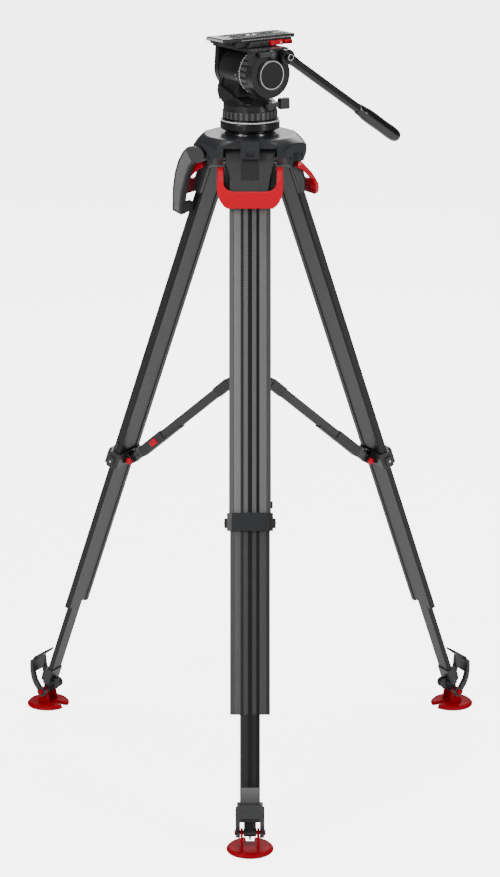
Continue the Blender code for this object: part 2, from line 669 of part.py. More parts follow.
def pan_bar_grip():
    """Handgrip: a short taper and a long waisted barrel, turned about the bar's axis."""
    profile = [(0, 0), (0.0072, 0), (0.0085, 0.0040), (0.0100, 0.0150), (0.0102, 0.0300), (0.0098, 0.0600),
               (0.0104, 0.0820), (0.0085, 0.0905), (0.0045, 0.0930), (0, 0.0930)]
    body = lathe(profile, 20)
    lay = Matrix.Translation((BAR_GRIP_START, -0.0585, 0)) @ Matrix.Rotation(math.radians(90), 4, "Y")
    return moved(moved(body, lay), bar_frame())


def pan_bar_knob():
    body = cylinder("Y", 0.0060, -0.0690, -0.0644, count=20)
    cut(body, cylinder("Y", 0.0025, -0.0700, -0.0665, count=6))
    return moved(body, bar_frame())


def build_head(stand):
    level = empty("levelling_centre", stand, (0, 0, BALL_Z))
    tilt_point = (0, 0, TILT_Z)
    head = empty("head", stand, rotation=(0, 0, HEAD_YAW))
    tilt = empty("tilt_axis", head, tilt_point)
    for shape, name, slot in ((ball_base(), "ball_base", "cast_black"), (clamp_disc(), "clamp_disc", "steel"),
                              (tie_down_knob(), "tie_down_knob", "black_plastic")):
        piece = finish(shape, name, slot, level, (0, 0, BALL_Z))
        piece.location = (0, 0, 0)
    ring = grip_ring("Z", 0.0405, 0.0305, SCALE_TOP + 0.0003, DRAG_TOP, 24, 0.0011)
    finish(ring, "pan_drag_ring", "rubber", head)
    finish(pan_housing(), "pan_housing", "cast_black", head)
    finish(pan_brake_lever(), "pan_brake_lever", "black_plastic", head, (0.0040, 0, 1.0185))
    ring = grip_ring("Y", 0.0335, 0.0087, -0.0375, -0.0200, 22, 0.0016, (0.0, TILT_Z))
    pieces = (
        (ring, "tilt_drag_ring", "rubber", tilt_point),
        (tilt_body(), "tilt_body", "cast_black", tilt_point),
        (side_cap(), "side_cap", "black_plastic", tilt_point),
        (lever((-0.0010, 1.0960), (-0.0235, 1.0965), 0.0060, 0.0055, -0.0600, -0.0529), "tilt_brake_lever",
         "black_plastic", (-0.0010, 0, 1.0960)),
        (platform(), "platform", "cast_black", tilt_point),
        (camera_plate(), "camera_plate", "cast_black", tilt_point),
        (plate_lock_lever(), "plate_lock_lever", "red", (0.0360, -0.0262, 1.1070)),
        (plate_button(), "plate_button", "red", (0.0490, -0.0270, 1.1070)),
        (pan_bar(), "pan_bar", "cast_black", (BAR_EYE[0], -0.0585, BAR_EYE[1])),
        (pan_bar_grip(), "pan_bar_grip", "rubber", (BAR_EYE[0], -0.0585, BAR_EYE[1])),
        (pan_bar_knob(), "pan_bar_knob", "steel", (BAR_EYE[0], -0.0667, BAR_EYE[1])),
    )
    for shape, name, slot, origin in pieces:
        piece = finish(shape, name, slot, tilt, origin)
        piece.location = Vector(origin) - Vector(tilt_point)


def main():
    clear_scene()
    stand = empty("pan_axis_on_floor", location=(0, PAN_AXIS_Y, 0))
    finish(crown_body(), "crown", "cast_black", stand)
    finish(bowl_ring(), "bowl_ring", "cast_black", stand)
    for name, azimuth in LEG_AZIMUTHS.items():
        build_leg(stand, name, azimuth)
    finish(spreader_hub(), "spreader_hub", "black_plastic", stand, (0, 0, HUB_Z))
    build_head(stand)
    bpy.context.view_layer.update()


main()
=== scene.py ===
import json
import math

import bmesh
import bpy
from mathutils import Matrix, Vector


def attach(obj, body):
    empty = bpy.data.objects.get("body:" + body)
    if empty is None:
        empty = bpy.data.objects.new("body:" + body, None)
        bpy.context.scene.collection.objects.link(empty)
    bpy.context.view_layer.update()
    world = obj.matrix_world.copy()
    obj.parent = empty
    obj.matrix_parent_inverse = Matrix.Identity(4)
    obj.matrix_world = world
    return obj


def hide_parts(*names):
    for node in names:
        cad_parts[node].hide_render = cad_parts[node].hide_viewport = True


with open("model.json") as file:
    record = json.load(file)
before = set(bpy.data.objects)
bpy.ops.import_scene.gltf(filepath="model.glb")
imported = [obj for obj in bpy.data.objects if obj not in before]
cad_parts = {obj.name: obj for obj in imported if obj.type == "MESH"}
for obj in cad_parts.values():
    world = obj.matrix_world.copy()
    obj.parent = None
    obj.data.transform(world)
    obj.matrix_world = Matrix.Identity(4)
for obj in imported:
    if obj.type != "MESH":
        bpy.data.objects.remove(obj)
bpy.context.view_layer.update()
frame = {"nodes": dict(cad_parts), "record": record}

# Metres and degrees, for the tripod as it stands
panAxisY = 0.095
headTurn = 35.0
tiltZ = 1.0655
legAzimuths = {"front": -90.0, "right": 30.0, "left": 150.0}
legAngle = 19.72
hinge = (0.0505, 0.9462)  # out from the pan axis, and up
footPivot = 0.9765  # down the leg from its hinge


# Shader helpers

def addNode(tree, kind, values=None, links=None, **settings):
    made = tree.nodes.new(kind)
    for key, value in settings.items():
        setattr(made, key, value)
    for key, value in (values or {}).items():
        made.inputs[key].default_value = value
    for key, source in (links or {}).items():
        tree.links.new(source, made.inputs[key])
    return made


def calc(tree, operation, first, second=0.0):
    made = tree.nodes.new("ShaderNodeMath")
    made.operation = operation
    for index, value in enumerate((first, second)):
        if isinstance(value, (int, float)):
            made.inputs[index].default_value = value
        else:
            tree.links.new(value, made.inputs[index])
    return made.outputs[0]


def blendColour(tree, factor, first, second):
    made = tree.nodes.new("ShaderNodeMix")
    made.data_type = "RGBA"
    for index, value in ((0, factor), (6, first), (7, second)):
        if isinstance(value, (int, float, tuple)):
            made.inputs[index].default_value = value
        else:
            tree.links.new(value, made.inputs[index])
    return made.outputs[2]


def addInput(tree, label, kind, value):
    socket = tree.interface.new_socket(
        name=label, in_out="INPUT", socket_type="NodeSocket" + kind)
    if value is not None:
        socket.default_value = value


def newGroup(name, inputs, outputs):
    tree = bpy.data.node_groups.new(name, "ShaderNodeTree")
    for label, kind, value in inputs:
        addInput(tree, label, kind, value)
    for label, kind in outputs:
        tree.interface.new_socket(
            name=label, in_out="OUTPUT", socket_type="NodeSocket" + kind)
    return tree, tree.nodes.new("NodeGroupInput"), tree.nodes.new("NodeGroupOutput")


def objectNoise(tree, values, links=None):
    coords = tree.nodes.new("ShaderNodeTexCoord")
    noise = addNode(tree, "ShaderNodeTexNoise", values,
                    {"Vector": coords.outputs["Object"], **(links or {})})
    return noise.outputs["Fac"]


def bumpNormal(tree, height, strength, distance):
    bump = addNode(tree, "ShaderNodeBump", {"Distance": distance},
                   {"Strength": strength, "Height": height})
    return bump.outputs["Normal"]


def putOut(tree, result, values):
    for label, value in values.items():
        tree.links.new(value, result.inputs[label])
    return tree


# Lightens edges found by pointiness, patchy with noise: partly wear, partly a painted highlight
# along the edges
def edgeWearAndHighlightGroup():
    tree, given, result = newGroup(
        "edgeWearAndHighlight",
        [("Color", "Color", (0.03, 0.03, 0.03, 1)),
         ("Edge Color", "Color", (0.2, 0.2, 0.2, 1)),
         ("Amount", "Float", 0.5), ("Spread", "Float", 0.04)],
        [("Color", "Color"), ("Mask", "Float")])
    shape = tree.nodes.new("ShaderNodeNewGeometry")
    noise = objectNoise(tree, {"Scale": 90.0, "Detail": 3.0})
    raised = calc(tree, "SUBTRACT", shape.outputs["Pointiness"], 0.505)  # 0.5 is flat
    edge = calc(tree, "DIVIDE", raised, given.outputs["Spread"])
    edge = calc(tree, "MINIMUM", calc(tree, "MAXIMUM", edge, 0.0), 1.0)
    rough = calc(tree, "ADD", calc(tree, "MULTIPLY", noise, 0.9), 0.35)
    mask = calc(tree, "MULTIPLY", calc(tree, "MULTIPLY", edge, rough), given.outputs["Amount"])
    wornAndHighlit = blendColour(tree, mask, given.outputs["Color"], given.outputs["Edge Color"])
    return putOut(tree, result, {"Color": wornAndHighlit, "Mask": mask})


def grainGroup():
    tree, given, result = newGroup(
        "grain", [("Scale", "Float", 1500.0), ("Depth", "Float", 0.1)],
        [("Value", "Float"), ("Normal", "Vector")])
    noise = objectNoise(tree, {"Detail": 2.0}, {"Scale": given.outputs["Scale"]})
    normal = bumpNormal(tree, noise, given.outputs["Depth"], 0.0002)
    return putOut(tree, result, {"Value": noise, "Normal": normal})


def weaveGroup():
    tree, given, result = newGroup(
        "weave",
        [("Vector", "Vector", None), ("Tow Width", "Float", 0.002), ("Depth", "Float", 0.3)],
        [("Across", "Float"), ("Zigzag", "Float"), ("Normal", "Vector")])
    parts = addNode(tree, "ShaderNodeSeparateXYZ", links={"Vector": given.outputs["Vector"]})
    u = calc(tree, "DIVIDE", parts.outputs[0], given.outputs["Tow Width"])
    v = calc(tree, "DIVIDE", parts.outputs[1], given.outputs["Tow Width"])
    side = calc(tree, "PINGPONG", u, 1.5)
    zigzag = calc(tree, "PINGPONG", calc(tree, "ADD", v, side), 0.5)
    zigzag = calc(tree, "MULTIPLY", zigzag, 2.0)
    first = calc(tree, "PINGPONG", calc(tree, "ADD", u, v), 1.0)
    slanted = calc(tree, "SUBTRACT", calc(tree, "MULTIPLY", u, 2.0), v)
    second = calc(tree, "PINGPONG", slanted, 1.0)
    across = calc(tree, "MULTIPLY", first, second)
    height = calc(tree, "ADD", across, calc(tree, "MULTIPLY", zigzag, 0.3))
    normal = bumpNormal(tree, height, given.outputs["Depth"], 0.0001)
    return putOut(tree, result, {"Across": across, "Zigzag": zigzag, "Normal": normal})


def dustGroup():
    tree, given, result = newGroup(
        "dust", [("Color", "Color", (0.03, 0.03, 0.03, 1)), ("Amount", "Float", 0.05)],
        [("Color", "Color"), ("Mask", "Float")])
    noise = objectNoise(tree, {"Scale": 60.0, "Detail": 4.0, "Roughness": 0.7})
    mask = calc(tree, "MULTIPLY", noise, given.outputs["Amount"])
    colour = blendColour(tree, mask, given.outputs["Color"], (0.42, 0.41, 0.4, 1))
    return putOut(tree, result, {"Color": colour, "Mask": mask})


def brushedGroup():
    tree, given, result = newGroup(
        "brushed", [("Scale", "Float", 400.0), ("Depth", "Float", 0.1)],
        [("Value", "Float"), ("Normal", "Vector")])
    coords = tree.nodes.new("ShaderNodeTexCoord")
    spread = addNode(tree, "ShaderNodeVectorMath", {1: (1.0, 1.0, 14.0)},
                     {0: coords.outputs["Object"]}, operation="MULTIPLY")
    noise = addNode(tree, "ShaderNodeTexNoise", {"Detail": 2.0},
                    {"Vector": spread.outputs[0], "Scale": given.outputs["Scale"]})
    value = noise.outputs["Fac"]
    normal = bumpNormal(tree, value, given.outputs["Depth"], 0.0001)
    return putOut(tree, result, {"Value": value, "Normal": normal})


groups = {"edgeWearAndHighlight": edgeWearAndHighlightGroup(), "grain": grainGroup(), "weave": weaveGroup(),
          "dust": dustGroup(), "brushed": brushedGroup()}


def useGroup(tree, name, values=None, links=None):
    return addNode(tree, "ShaderNodeGroup", values, links, node_tree=groups[name])


def newMaterial(name):
    made = bpy.data.materials.new(name)
    made.use_nodes = True
    return made, made.node_tree, made.node_tree.nodes["Principled BSDF"]


def coatedMaterial(name, colour, edge, roughness, wear, grain, depth, dust=0.05, coat=0.0,
                   spread=0.04, specular=0.5):
    made, tree, shader = newMaterial(name)
    dusty = useGroup(tree, "dust", {"Color": (*colour, 1), "Amount": dust})
    # The edge colour is partly wear, partly a painted highlight along the edges
    wornAndHighlit = useGroup(tree, "edgeWearAndHighlight",
                    {"Edge Color": (*edge, 1), "Amount": wear, "Spread": spread},
                    {"Color": dusty.outputs["Color"]})
    skin = useGroup(tree, "grain", {"Scale": grain, "Depth": depth})
    tree.links.new(wornAndHighlit.outputs["Color"], shader.inputs["Base Color"])
    tree.links.new(skin.outputs["Normal"], shader.inputs["Normal"])
    shader.inputs["Roughness"].default_value = roughness
    shader.inputs["Specular IOR Level"].default_value = specular
    shader.inputs["Coat Weight"].default_value = coat
    shader.inputs["Coat Roughness"].default_value = 0.15
    return made


def shade(value):
    return (value, value * 0.995, value * 0.975, 1)


def between(tree, value, low, high):
    above = calc(tree, "GREATER_THAN", value, low)
    return calc(tree, "MULTIPLY", above, calc(tree, "LESS_THAN", value, high))


# Bands across a leg tube's face, in metres from its centre line
tubeBands = {"zigzag": (0.0030, 0.0092), "woven": (0.0136, 0.0236), "channel": 0.0180,
             "tow": 0.0030, "fineTow": 0.0011}


# The light argument scales the weave's pale tones: lit and shaded copies of one weave, with painted
# shade on the middle and lower tubes
def carbonMaterial(name, light):
    made, tree, shader = newMaterial(name)
    coords = addNode(tree, "ShaderNodeUVMap", uv_map="lengthwise")
    weave = useGroup(tree, "weave", {"Tow Width": tubeBands["tow"], "Depth": 0.35},
                     {"Vector": coords.outputs["UV"]})
    fine = useGroup(tree, "weave", {"Tow Width": tubeBands["fineTow"], "Depth": 0.2},
                    {"Vector": coords.outputs["UV"]})
    parts = addNode(tree, "ShaderNodeSeparateXYZ", links={"Vector": coords.outputs["UV"]})
    u = parts.outputs[0]
    inner = calc(tree, "GREATER_THAN", u, 1.5)
    across = calc(tree, "ABSOLUTE", calc(tree, "SUBTRACT", u, calc(tree, "MULTIPLY", inner, 2.0)))
    onFace = calc(tree, "LESS_THAN", across, 0.5)
    outer = calc(tree, "MULTIPLY", onFace, calc(tree, "SUBTRACT", 1.0, inner))
    strip = calc(tree, "MULTIPLY", between(tree, across, *tubeBands["zigzag"]), outer)
    bright = calc(tree, "MULTIPLY", between(tree, across, *tubeBands["woven"]), outer)
    rim = calc(tree, "MULTIPLY", calc(tree, "GREATER_THAN", across, tubeBands["woven"][1]), outer)
    colour = blendColour(tree, onFace, (0.006, 0.0065, 0.007, 1), (0.0035, 0.004, 0.005, 1))
    colour = blendColour(tree, rim, colour, shade(0.050 * light))
    woven = blendColour(tree, fine.outputs["Across"], shade(0.060 * light), shade(0.300 * light))
    zigzag = blendColour(tree, weave.outputs["Zigzag"], shade(0.002), shade(0.190 * light))
    colour = blendColour(tree, bright, colour, woven)
    colour = blendColour(tree, strip, colour, zigzag)
    # The inner face is plain, with a paler channel down its middle; the channel's pale tone also
    # follows the painted light level
    channel = calc(tree, "LESS_THAN", across, tubeBands["channel"])
    dark = blendColour(tree, fine.outputs["Across"], (0.004, 0.0045, 0.005, 1),
                       (0.012, 0.012, 0.012, 1))
    pale = blendColour(tree, fine.outputs["Zigzag"], shade(0.003), shade(0.006 + 0.006 * light))
    colour = blendColour(tree, inner, colour, blendColour(tree, channel, dark, pale))
    # Lighter edges: partly wear, partly a painted highlight
    wornAndHighlit = useGroup(tree, "edgeWearAndHighlight",
                    {"Edge Color": (0.22, 0.22, 0.22, 1), "Amount": 0.03, "Spread": 0.05},
                    {"Color": colour})
    tree.links.new(wornAndHighlit.outputs["Color"], shader.inputs["Base Color"])
    tree.links.new(weave.outputs["Normal"], shader.inputs["Normal"])
    shader.inputs["Roughness"].default_value = 0.38
    shader.inputs["Specular IOR Level"].default_value = 0.28
    shader.inputs["Coat Weight"].default_value = 0.10
    shader.inputs["Coat Roughness"].default_value = 0.22
    return made


def steelMaterial(name, colour, roughness):
    made, tree, shader = newMaterial(name)
    skin = useGroup(tree, "brushed", {"Scale": 500.0, "Depth": 0.15})
    dull = tuple(channel * 0.8 for channel in colour)
    tone = blendColour(tree, skin.outputs["Value"], (*dull, 1), (*colour, 1))
    tree.links.new(tone, shader.inputs["Base Color"])
    tree.links.new(skin.outputs["Normal"], shader.inputs["Normal"])
    shader.inputs["Roughness"].default_value = roughness
    shader.inputs["Metallic"].default_value = 1.0
    return made


# Each edge colour is laid on the edges: partly wear, partly a painted highlight
coats = {
    "crownPaint": {
        "colour": (0.0060, 0.0068, 0.0082), "edge": (0.16, 0.17, 0.19), "roughness": 0.30,
        "wear": 0.09, "grain": 1600, "depth": 0.08, "dust": 0.012, "spread": 0.03},
    "headPaint": {
        "colour": (0.0075, 0.0076, 0.0080), "edge": (0.14, 0.14, 0.15), "roughness": 0.24,
        "wear": 0.08, "grain": 1800, "depth": 0.06, "dust": 0.010, "spread": 0.03},
    "castGrey": {
        "colour": (0.016, 0.016, 0.017), "edge": (0.14, 0.14, 0.14), "roughness": 0.36,
        "wear": 0.06, "grain": 1500, "depth": 0.10, "dust": 0.015},
    "glossBlack": {
        "colour": (0.003, 0.003, 0.0035), "edge": (0.07, 0.07, 0.07), "roughness": 0.24,
        "wear": 0.05, "grain": 2200, "depth": 0.02, "dust": 0.005, "coat": 0.2},
    "greyPaint": {
        "colour": (0.026, 0.0265, 0.0275), "edge": (0.22, 0.22, 0.22), "roughness": 0.30,
        "wear": 0.08, "grain": 1600, "depth": 0.06, "dust": 0.010, "spread": 0.03},
    "redPlastic": {
        "colour": (0.50, 0.0, 0.014), "edge": (0.70, 0.01, 0.04), "roughness": 0.26, "wear": 0.04,
        "grain": 1200, "depth": 0.03, "dust": 0.0, "coat": 0.08, "specular": 0.16},
    "redPad": {
        "colour": (0.27, 0.0, 0.006), "edge": (0.36, 0.0, 0.02), "roughness": 0.42, "wear": 0.03,
        "grain": 1400, "depth": 0.05, "dust": 0.0, "specular": 0.08},
    "blackPlastic": {
        "colour": (0.0080, 0.0088, 0.0098), "edge": (0.09, 0.09, 0.10), "roughness": 0.36,
        "wear": 0.07, "grain": 1900, "depth": 0.10, "dust": 0.012, "spread": 0.03},
    "darkPanel": {
        "colour": (0.006, 0.0065, 0.0075), "edge": (0.08, 0.08, 0.09), "roughness": 0.45,
        "wear": 0.03, "grain": 2400, "depth": 0.10, "dust": 0.012},
    # Lighter than the rubber core: a painted highlight along the ribs' ridges
    "panRib": {
        "colour": (0.034, 0.034, 0.035), "edge": (0.30, 0.30, 0.30), "roughness": 0.40,
        "wear": 0.09, "grain": 2200, "depth": 0.12, "dust": 0.02, "spread": 0.03},
    "rubber": {
        "colour": (0.004, 0.004, 0.0045), "edge": (0.05, 0.05, 0.05), "roughness": 0.55,
        "wear": 0.04, "grain": 2600, "depth": 0.25, "dust": 0.012},
    "smoothRubber": {
        "colour": (0.003, 0.003, 0.0035), "edge": (0.04, 0.04, 0.04), "roughness": 0.22,
        "wear": 0.03, "grain": 2600, "depth": 0.03, "dust": 0.006, "coat": 0.3},
    # Pale metal edges; on the plate's teeth this finish is a painted glint
    "paleEdge": {
        "colour": (0.36, 0.37, 0.38), "edge": (0.7, 0.7, 0.7), "roughness": 0.30, "wear": 0.06,
        "grain": 1600, "depth": 0.05, "dust": 0.02},
    "handleGrip": {
        "colour": (0.018, 0.018, 0.019), "edge": (0.12, 0.12, 0.12), "roughness": 0.52,
        "wear": 0.05, "grain": 700, "depth": 0.8, "dust": 0.02},
    "handlePanel": {
        "colour": (0.10, 0.10, 0.10), "edge": (0.20, 0.20, 0.20), "roughness": 0.45, "wear": 0.04,
        "grain": 2200, "depth": 0.12, "dust": 0.02},
    "paleSole": {
        "colour": (0.34, 0.34, 0.33), "edge": (0.5, 0.5, 0.5), "roughness": 0.7, "wear": 0.02,
        "grain": 1800, "depth": 0.2},
    "whiteMark": {
        "colour": (0.78, 0.79, 0.80), "edge": (0.95, 0.95, 0.95), "roughness": 0.45, "wear": 0.02,
        "grain": 2000, "depth": 0.03, "dust": 0.01},
}
finishes = {name: coatedMaterial(name, **coat) for name, coat in coats.items()}
# One carbon weave at three painted light levels: painted shade darkens the middle and lower tubes
finishes["carbon"] = carbonMaterial("carbonWeave", 1.0)
finishes["carbonPaintedShade"] = carbonMaterial("carbonPaintedShadeWeave", 0.42)
finishes["carbonDeepPaintedShade"] = carbonMaterial("carbonDeepPaintedShadeWeave", 0.14)
finishes["steel"] = steelMaterial("steel", (0.60, 0.60, 0.61), 0.30)
finishes["darkSteel"] = steelMaterial("darkSteel", (0.13, 0.13, 0.14), 0.34)
finishes["palePlate"] = steelMaterial("palePlate", (0.42, 0.43, 0.44), 0.38)


# Shape helpers

standMatrix = Matrix.Translation((0, panAxisY, 0))
headMatrix = standMatrix @ Matrix.Rotation(math.radians(headTurn), 4, "Z")


def rotated(azimuth):
    return standMatrix @ Matrix.Rotation(math.radians(azimuth - 90), 4, "Z")


def legMatrix(azimuth):
    tilt = Matrix.Rotation(math.radians(legAngle), 4, "X")
    return rotated(azimuth) @ Matrix.Translation((0, *hinge)) @ tilt


def along(axis, first, second, height):
    if axis == "X":
        return (height, first, second)
    if axis == "Y":
        return (first, height, second)
    return (first, second, height)


def prism(bm, outline, axis, low, high):
    rings = [[bm.verts.new(along(axis, a, b, z)) for a, b in outline] for z in (low, high)]
    made = [bm.faces.new(rings[0]), bm.faces.new(rings[1])]
    for i in range(len(outline)):
        j = (i + 1) % len(outline)
        made.append(bm.faces.new((rings[0][i], rings[0][j], rings[1][j], rings[1][i])))
    bmesh.ops.recalc_face_normals(bm, faces=made)
    return bm


def block(bm, x0, x1, y0, y1, z0, z1):
    return prism(bm, [(x0, y0), (x1, y0), (x1, y1), (x0, y1)], "Z", z0, z1)


def circle(radius, count, centre=(0.0, 0.0)):
    turns = [2 * math.pi * i / count for i in range(count)]
    return [(centre[0] + radius * math.cos(t), centre[1] + radius * math.sin(t)) for t in turns]


def arc(centre, radius, start, end, count):
    turns = [math.radians(start + (end - start) * i / (count - 1)) for i in range(count)]
    return [(centre[0] + radius * math.cos(t), centre[1] + radius * math.sin(t)) for t in turns]


def rod(bm, axis, radius, low, high, centre=(0.0, 0.0), count=48):
    return prism(bm, circle(radius, count, centre), axis, low, high)


def lathe(bm, profile, axis="Z", centre=(0.0, 0.0), count=96):
    rings = []
    for radius, height in profile:
        if radius < 1e-7:
            rings.append([bm.verts.new(along(axis, *centre, height))])
        else:
            rings.append([bm.verts.new(along(axis, a, b, height))
                          for a, b in circle(radius, count, centre)])
    made = []
    for here, there in zip(rings, rings[1:] + rings[:1]):
        if len(here) == 1 and len(there) == 1:
            continue
        for i in range(count):
            j = (i + 1) % count
            corners = [here[i % len(here)], here[j % len(here)],
                       there[j % len(there)], there[i % len(there)]]
            made.append(bm.faces.new(list(dict.fromkeys(corners))))
    bmesh.ops.recalc_face_normals(bm, faces=made)
    return bm


def roundedBox(width, height, radius, centre=(0.0, 0.0), count=6):
    points = []
    for i, (sx, sy) in enumerate(((1, -1), (1, 1), (-1, 1), (-1, -1))):
        corner = (centre[0] + sx * (width / 2 - radius), centre[1] + sy * (height / 2 - radius))
        points += arc(corner, radius, -90 + 90 * i, 90 * i, count)
    return points


# Outer faces lie round 0 across, side faces round 1 and inner faces round 2
def lengthwiseMap(bm):
    layer = bm.loops.layers.uv.new("lengthwise")
    for face in bm.faces:
        n = face.normal
        for loop in face.loops:
            p = loop.vert.co
            if abs(n.z) > 0.8:
                loop[layer].uv = (p.x + 1.0, p.y)
            elif n.y > 0.5:
                loop[layer].uv = (p.x, p.z)
            elif n.y < -0.5:
                loop[layer].uv = (p.x + 2.0, p.z)
            else:
                loop[layer].uv = (p.y + 1.0, p.z)


def evaluated(obj):
    bpy.context.view_layer.update()
    graph = bpy.context.evaluated_depsgraph_get()
    mesh = bpy.data.meshes.new_from_object(obj.evaluated_get(graph))
    obj.modifiers.clear()
    obj.data = mesh
    return obj


def objectFrom(bm, name):
    mesh = bpy.data.meshes.new(name)
    bm.to_mesh(mesh)
    bm.free()
    made = bpy.data.objects.new(name, mesh)
    bpy.context.scene.collection.objects.link(made)
    return made


def carve(obj, cutter, operation="DIFFERENCE"):
    tool = objectFrom(cutter, "tool")
    step = obj.modifiers.new("carve", "BOOLEAN")
    step.operation = operation
    step.solver = "EXACT"
    step.object = tool
    evaluated(obj)
    bpy.data.objects.remove(tool, do_unlink=True)
    return obj


def bevelled(obj, width, segments, angle):
    step = obj.modifiers.new("bevel", "BEVEL")
    step.width = width
    step.segments = segments
    step.limit_method = "ANGLE"
    step.angle_limit = math.radians(angle)
    return evaluated(obj)


def place(obj, matrix, finish, body, slot, replaced=(), bevel=0.0005, segments=2,
          angle=32.0, smooth=40.0):
    if bevel:
        bevelled(obj, bevel, segments, angle)
    bm = bmesh.new()
    bm.from_mesh(obj.data)
    bmesh.ops.dissolve_degenerate(bm, dist=1e-6, edges=bm.edges)
    bm.normal_update()
    lengthwiseMap(bm)
    bm.to_mesh(obj.data)
    bm.free()
    obj.data.transform(matrix)
    obj.data.shade_smooth()
    obj.data.set_sharp_from_angle(angle=math.radians(smooth))
    step = obj.modifiers.new("normals", "WEIGHTED_NORMAL")
    step.keep_sharp = True
    evaluated(obj)
    obj.data.materials.clear()
    obj.data.materials.append(finishes[finish])
    for polygon in obj.data.polygons:
        polygon.material_index = 0
    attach(obj, body)
    if replaced:
        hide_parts(*replaced)
    return obj


def finished(name, bm, matrix, finish, body, slot, **options):
    return place(objectFrom(bm, name), matrix, finish, body, slot, **options)


def cadCopy(node, name, matrix):
    bm = bmesh.new()
    bm.from_mesh(frame["nodes"][node].data)
    bm.transform(matrix.inverted())
    bmesh.ops.remove_doubles(bm, verts=bm.verts, dist=2e-6)
    bmesh.ops.dissolve_limit(
        bm, angle_limit=math.radians(1.0), verts=bm.verts, edges=bm.edges)
    return objectFrom(bm, name)


def refine(node, matrix, finish, slot, bevel, segments=2, angle=32.0, smooth=40.0, cutters=()):
    obj = cadCopy(node, camel(node), matrix)
    for cutter in cutters:
        carve(obj, cutter)
    return place(obj, matrix, finish, nodeBody[node], slot, (node,), bevel, segments, angle,
                 smooth)


def camel(name):
    first, *rest = name.split("_")
    return first + "".join(word.capitalize() for word in rest)


def blackPiece(name, bm, matrix, body, **options):
    return finished(name, bm, matrix, "blackPlastic", body, "black_plastic", **options)


def blackCast(node, matrix, bevel):
    return refine(node, matrix, "blackPlastic", "black_plastic", bevel, 3)


def sideName(side):
    return "Right" if side > 0 else "Left"


def sideSpan(side, inner, outer):
    return sorted((side * inner, side * outer))


nodeBody = {node: body for body, nodes in frame["record"]["behaviour"]["bodies"].items()
            for node in nodes}


# Geometry Nodes trees for what repeats or follows a path

def newGeometryTree(name, inputs):
    tree = bpy.data.node_groups.new(name, "GeometryNodeTree")
    addInput(tree, "Geometry", "Geometry", None)
    for label, kind, value in inputs:
        addInput(tree, label, kind, value)
    tree.interface.new_socket(
        name="Geometry", in_out="OUTPUT", socket_type="NodeSocketGeometry")
    return tree, tree.nodes.new("NodeGroupInput"), tree.nodes.new("NodeGroupOutput")


def closeTree(tree, given, result, geometry):
    real = addNode(tree, "GeometryNodeRealizeInstances", links={"Geometry": geometry})
    dressed = addNode(tree, "GeometryNodeSetMaterial",
                      links={"Geometry": real.outputs["Geometry"],
                             "Material": given.outputs["Material"]})
    tree.links.new(dressed.outputs["Geometry"], result.inputs["Geometry"])


def repeatRoundTree():
    tree, given, result = newGeometryTree(
        "repeatRound", [("Count", "Int", 12), ("Start", "Float", 0.0),
                        ("Sweep", "Float", 2 * math.pi), ("Material", "Material", None)])
    line = addNode(tree, "GeometryNodeMeshLine", {"Offset": (0, 0, 0)},
                   {"Count": given.outputs["Count"]})
    index = tree.nodes.new("GeometryNodeInputIndex")
    share = calc(tree, "DIVIDE", index.outputs[0], given.outputs["Count"])
    turn = calc(tree, "MULTIPLY", share, given.outputs["Sweep"])
    turn = calc(tree, "ADD", turn, given.outputs["Start"])
    angles = addNode(tree, "ShaderNodeCombineXYZ", links={"Z": turn})
    copies = addNode(tree, "GeometryNodeInstanceOnPoints",
                     links={"Points": line.outputs["Mesh"], "Instance": given.outputs["Geometry"],
                            "Rotation": angles.outputs["Vector"]})
    closeTree(tree, given, result, copies.outputs["Instances"])
    return tree


def repeatRowTree():
    tree, given, result = newGeometryTree(
        "repeatRow", [("Count", "Int", 10), ("Step", "Vector", (0.002, 0, 0)),
                      ("Material", "Material", None)])
    line = addNode(tree, "GeometryNodeMeshLine",
                   links={"Count": given.outputs["Count"], "Offset": given.outputs["Step"]})
    copies = addNode(tree, "GeometryNodeInstanceOnPoints",
                     links={"Points": line.outputs["Mesh"], "Instance": given.outputs["Geometry"]})
    closeTree(tree, given, result, copies.outputs["Instances"])
    return tree


def sweepTree():
    tree, given, result = newGeometryTree(
        "sweep", [("Width", "Float", 0.004), ("Height", "Float", 0.002),
                  ("Corner", "Float", 0.0005), ("Material", "Material", None)])
    section = addNode(tree, "GeometryNodeCurvePrimitiveQuadrilateral",
                      links={"Width": given.outputs["Width"], "Height": given.outputs["Height"]})
    soft = addNode(tree, "GeometryNodeFilletCurve", {"Count": 4},
                   {"Curve": section.outputs["Curve"], "Radius": given.outputs["Corner"]},
                   mode="POLY")
    swept = addNode(tree, "GeometryNodeCurveToMesh", {"Fill Caps": True},
                    {"Curve": given.outputs["Geometry"], "Profile Curve": soft.outputs["Curve"]})
    closeTree(tree, given, result, swept.outputs["Mesh"])
    return tree


trees = {"repeatRound": repeatRoundTree(), "repeatRow": repeatRowTree(), "sweep": sweepTree()}


def addTree(obj, treeName, finish, **values):
    step = obj.modifiers.new(treeName, "NODES")
    step.node_group = trees[treeName]
    values["Material"] = finishes[finish]
    for item in step.node_group.interface.items_tree:
        if item.in_out == "INPUT" and item.name in values:
            step[item.identifier] = values[item.name]


def grow(obj, treeName, finish, **values):
    addTree(obj, treeName, finish, **values)
    return evaluated(obj)


def aroundAxis(direction, origin=(0.0, 0.0, 0.0)):
    turn = Vector((0, 0, 1)).rotation_difference(Vector(direction)).to_matrix().to_4x4()
    return Matrix.Translation(origin) @ turn


def insetOutline(outline, distance):
    count = len(outline)
    result = []
    for i in range(count):
        before = (Vector(outline[i]) - Vector(outline[i - 1])).normalized()
        after = (Vector(outline[(i + 1) % count]) - Vector(outline[i])).normalized()
        first = Vector((-before.y, before.x))
        second = Vector((-after.y, after.x))
        middle = (first + second).normalized()
        reach = distance / max(0.4, middle.dot(first))
        result.append((outline[i][0] + middle.x * reach, outline[i][1] + middle.y * reach))
    return result


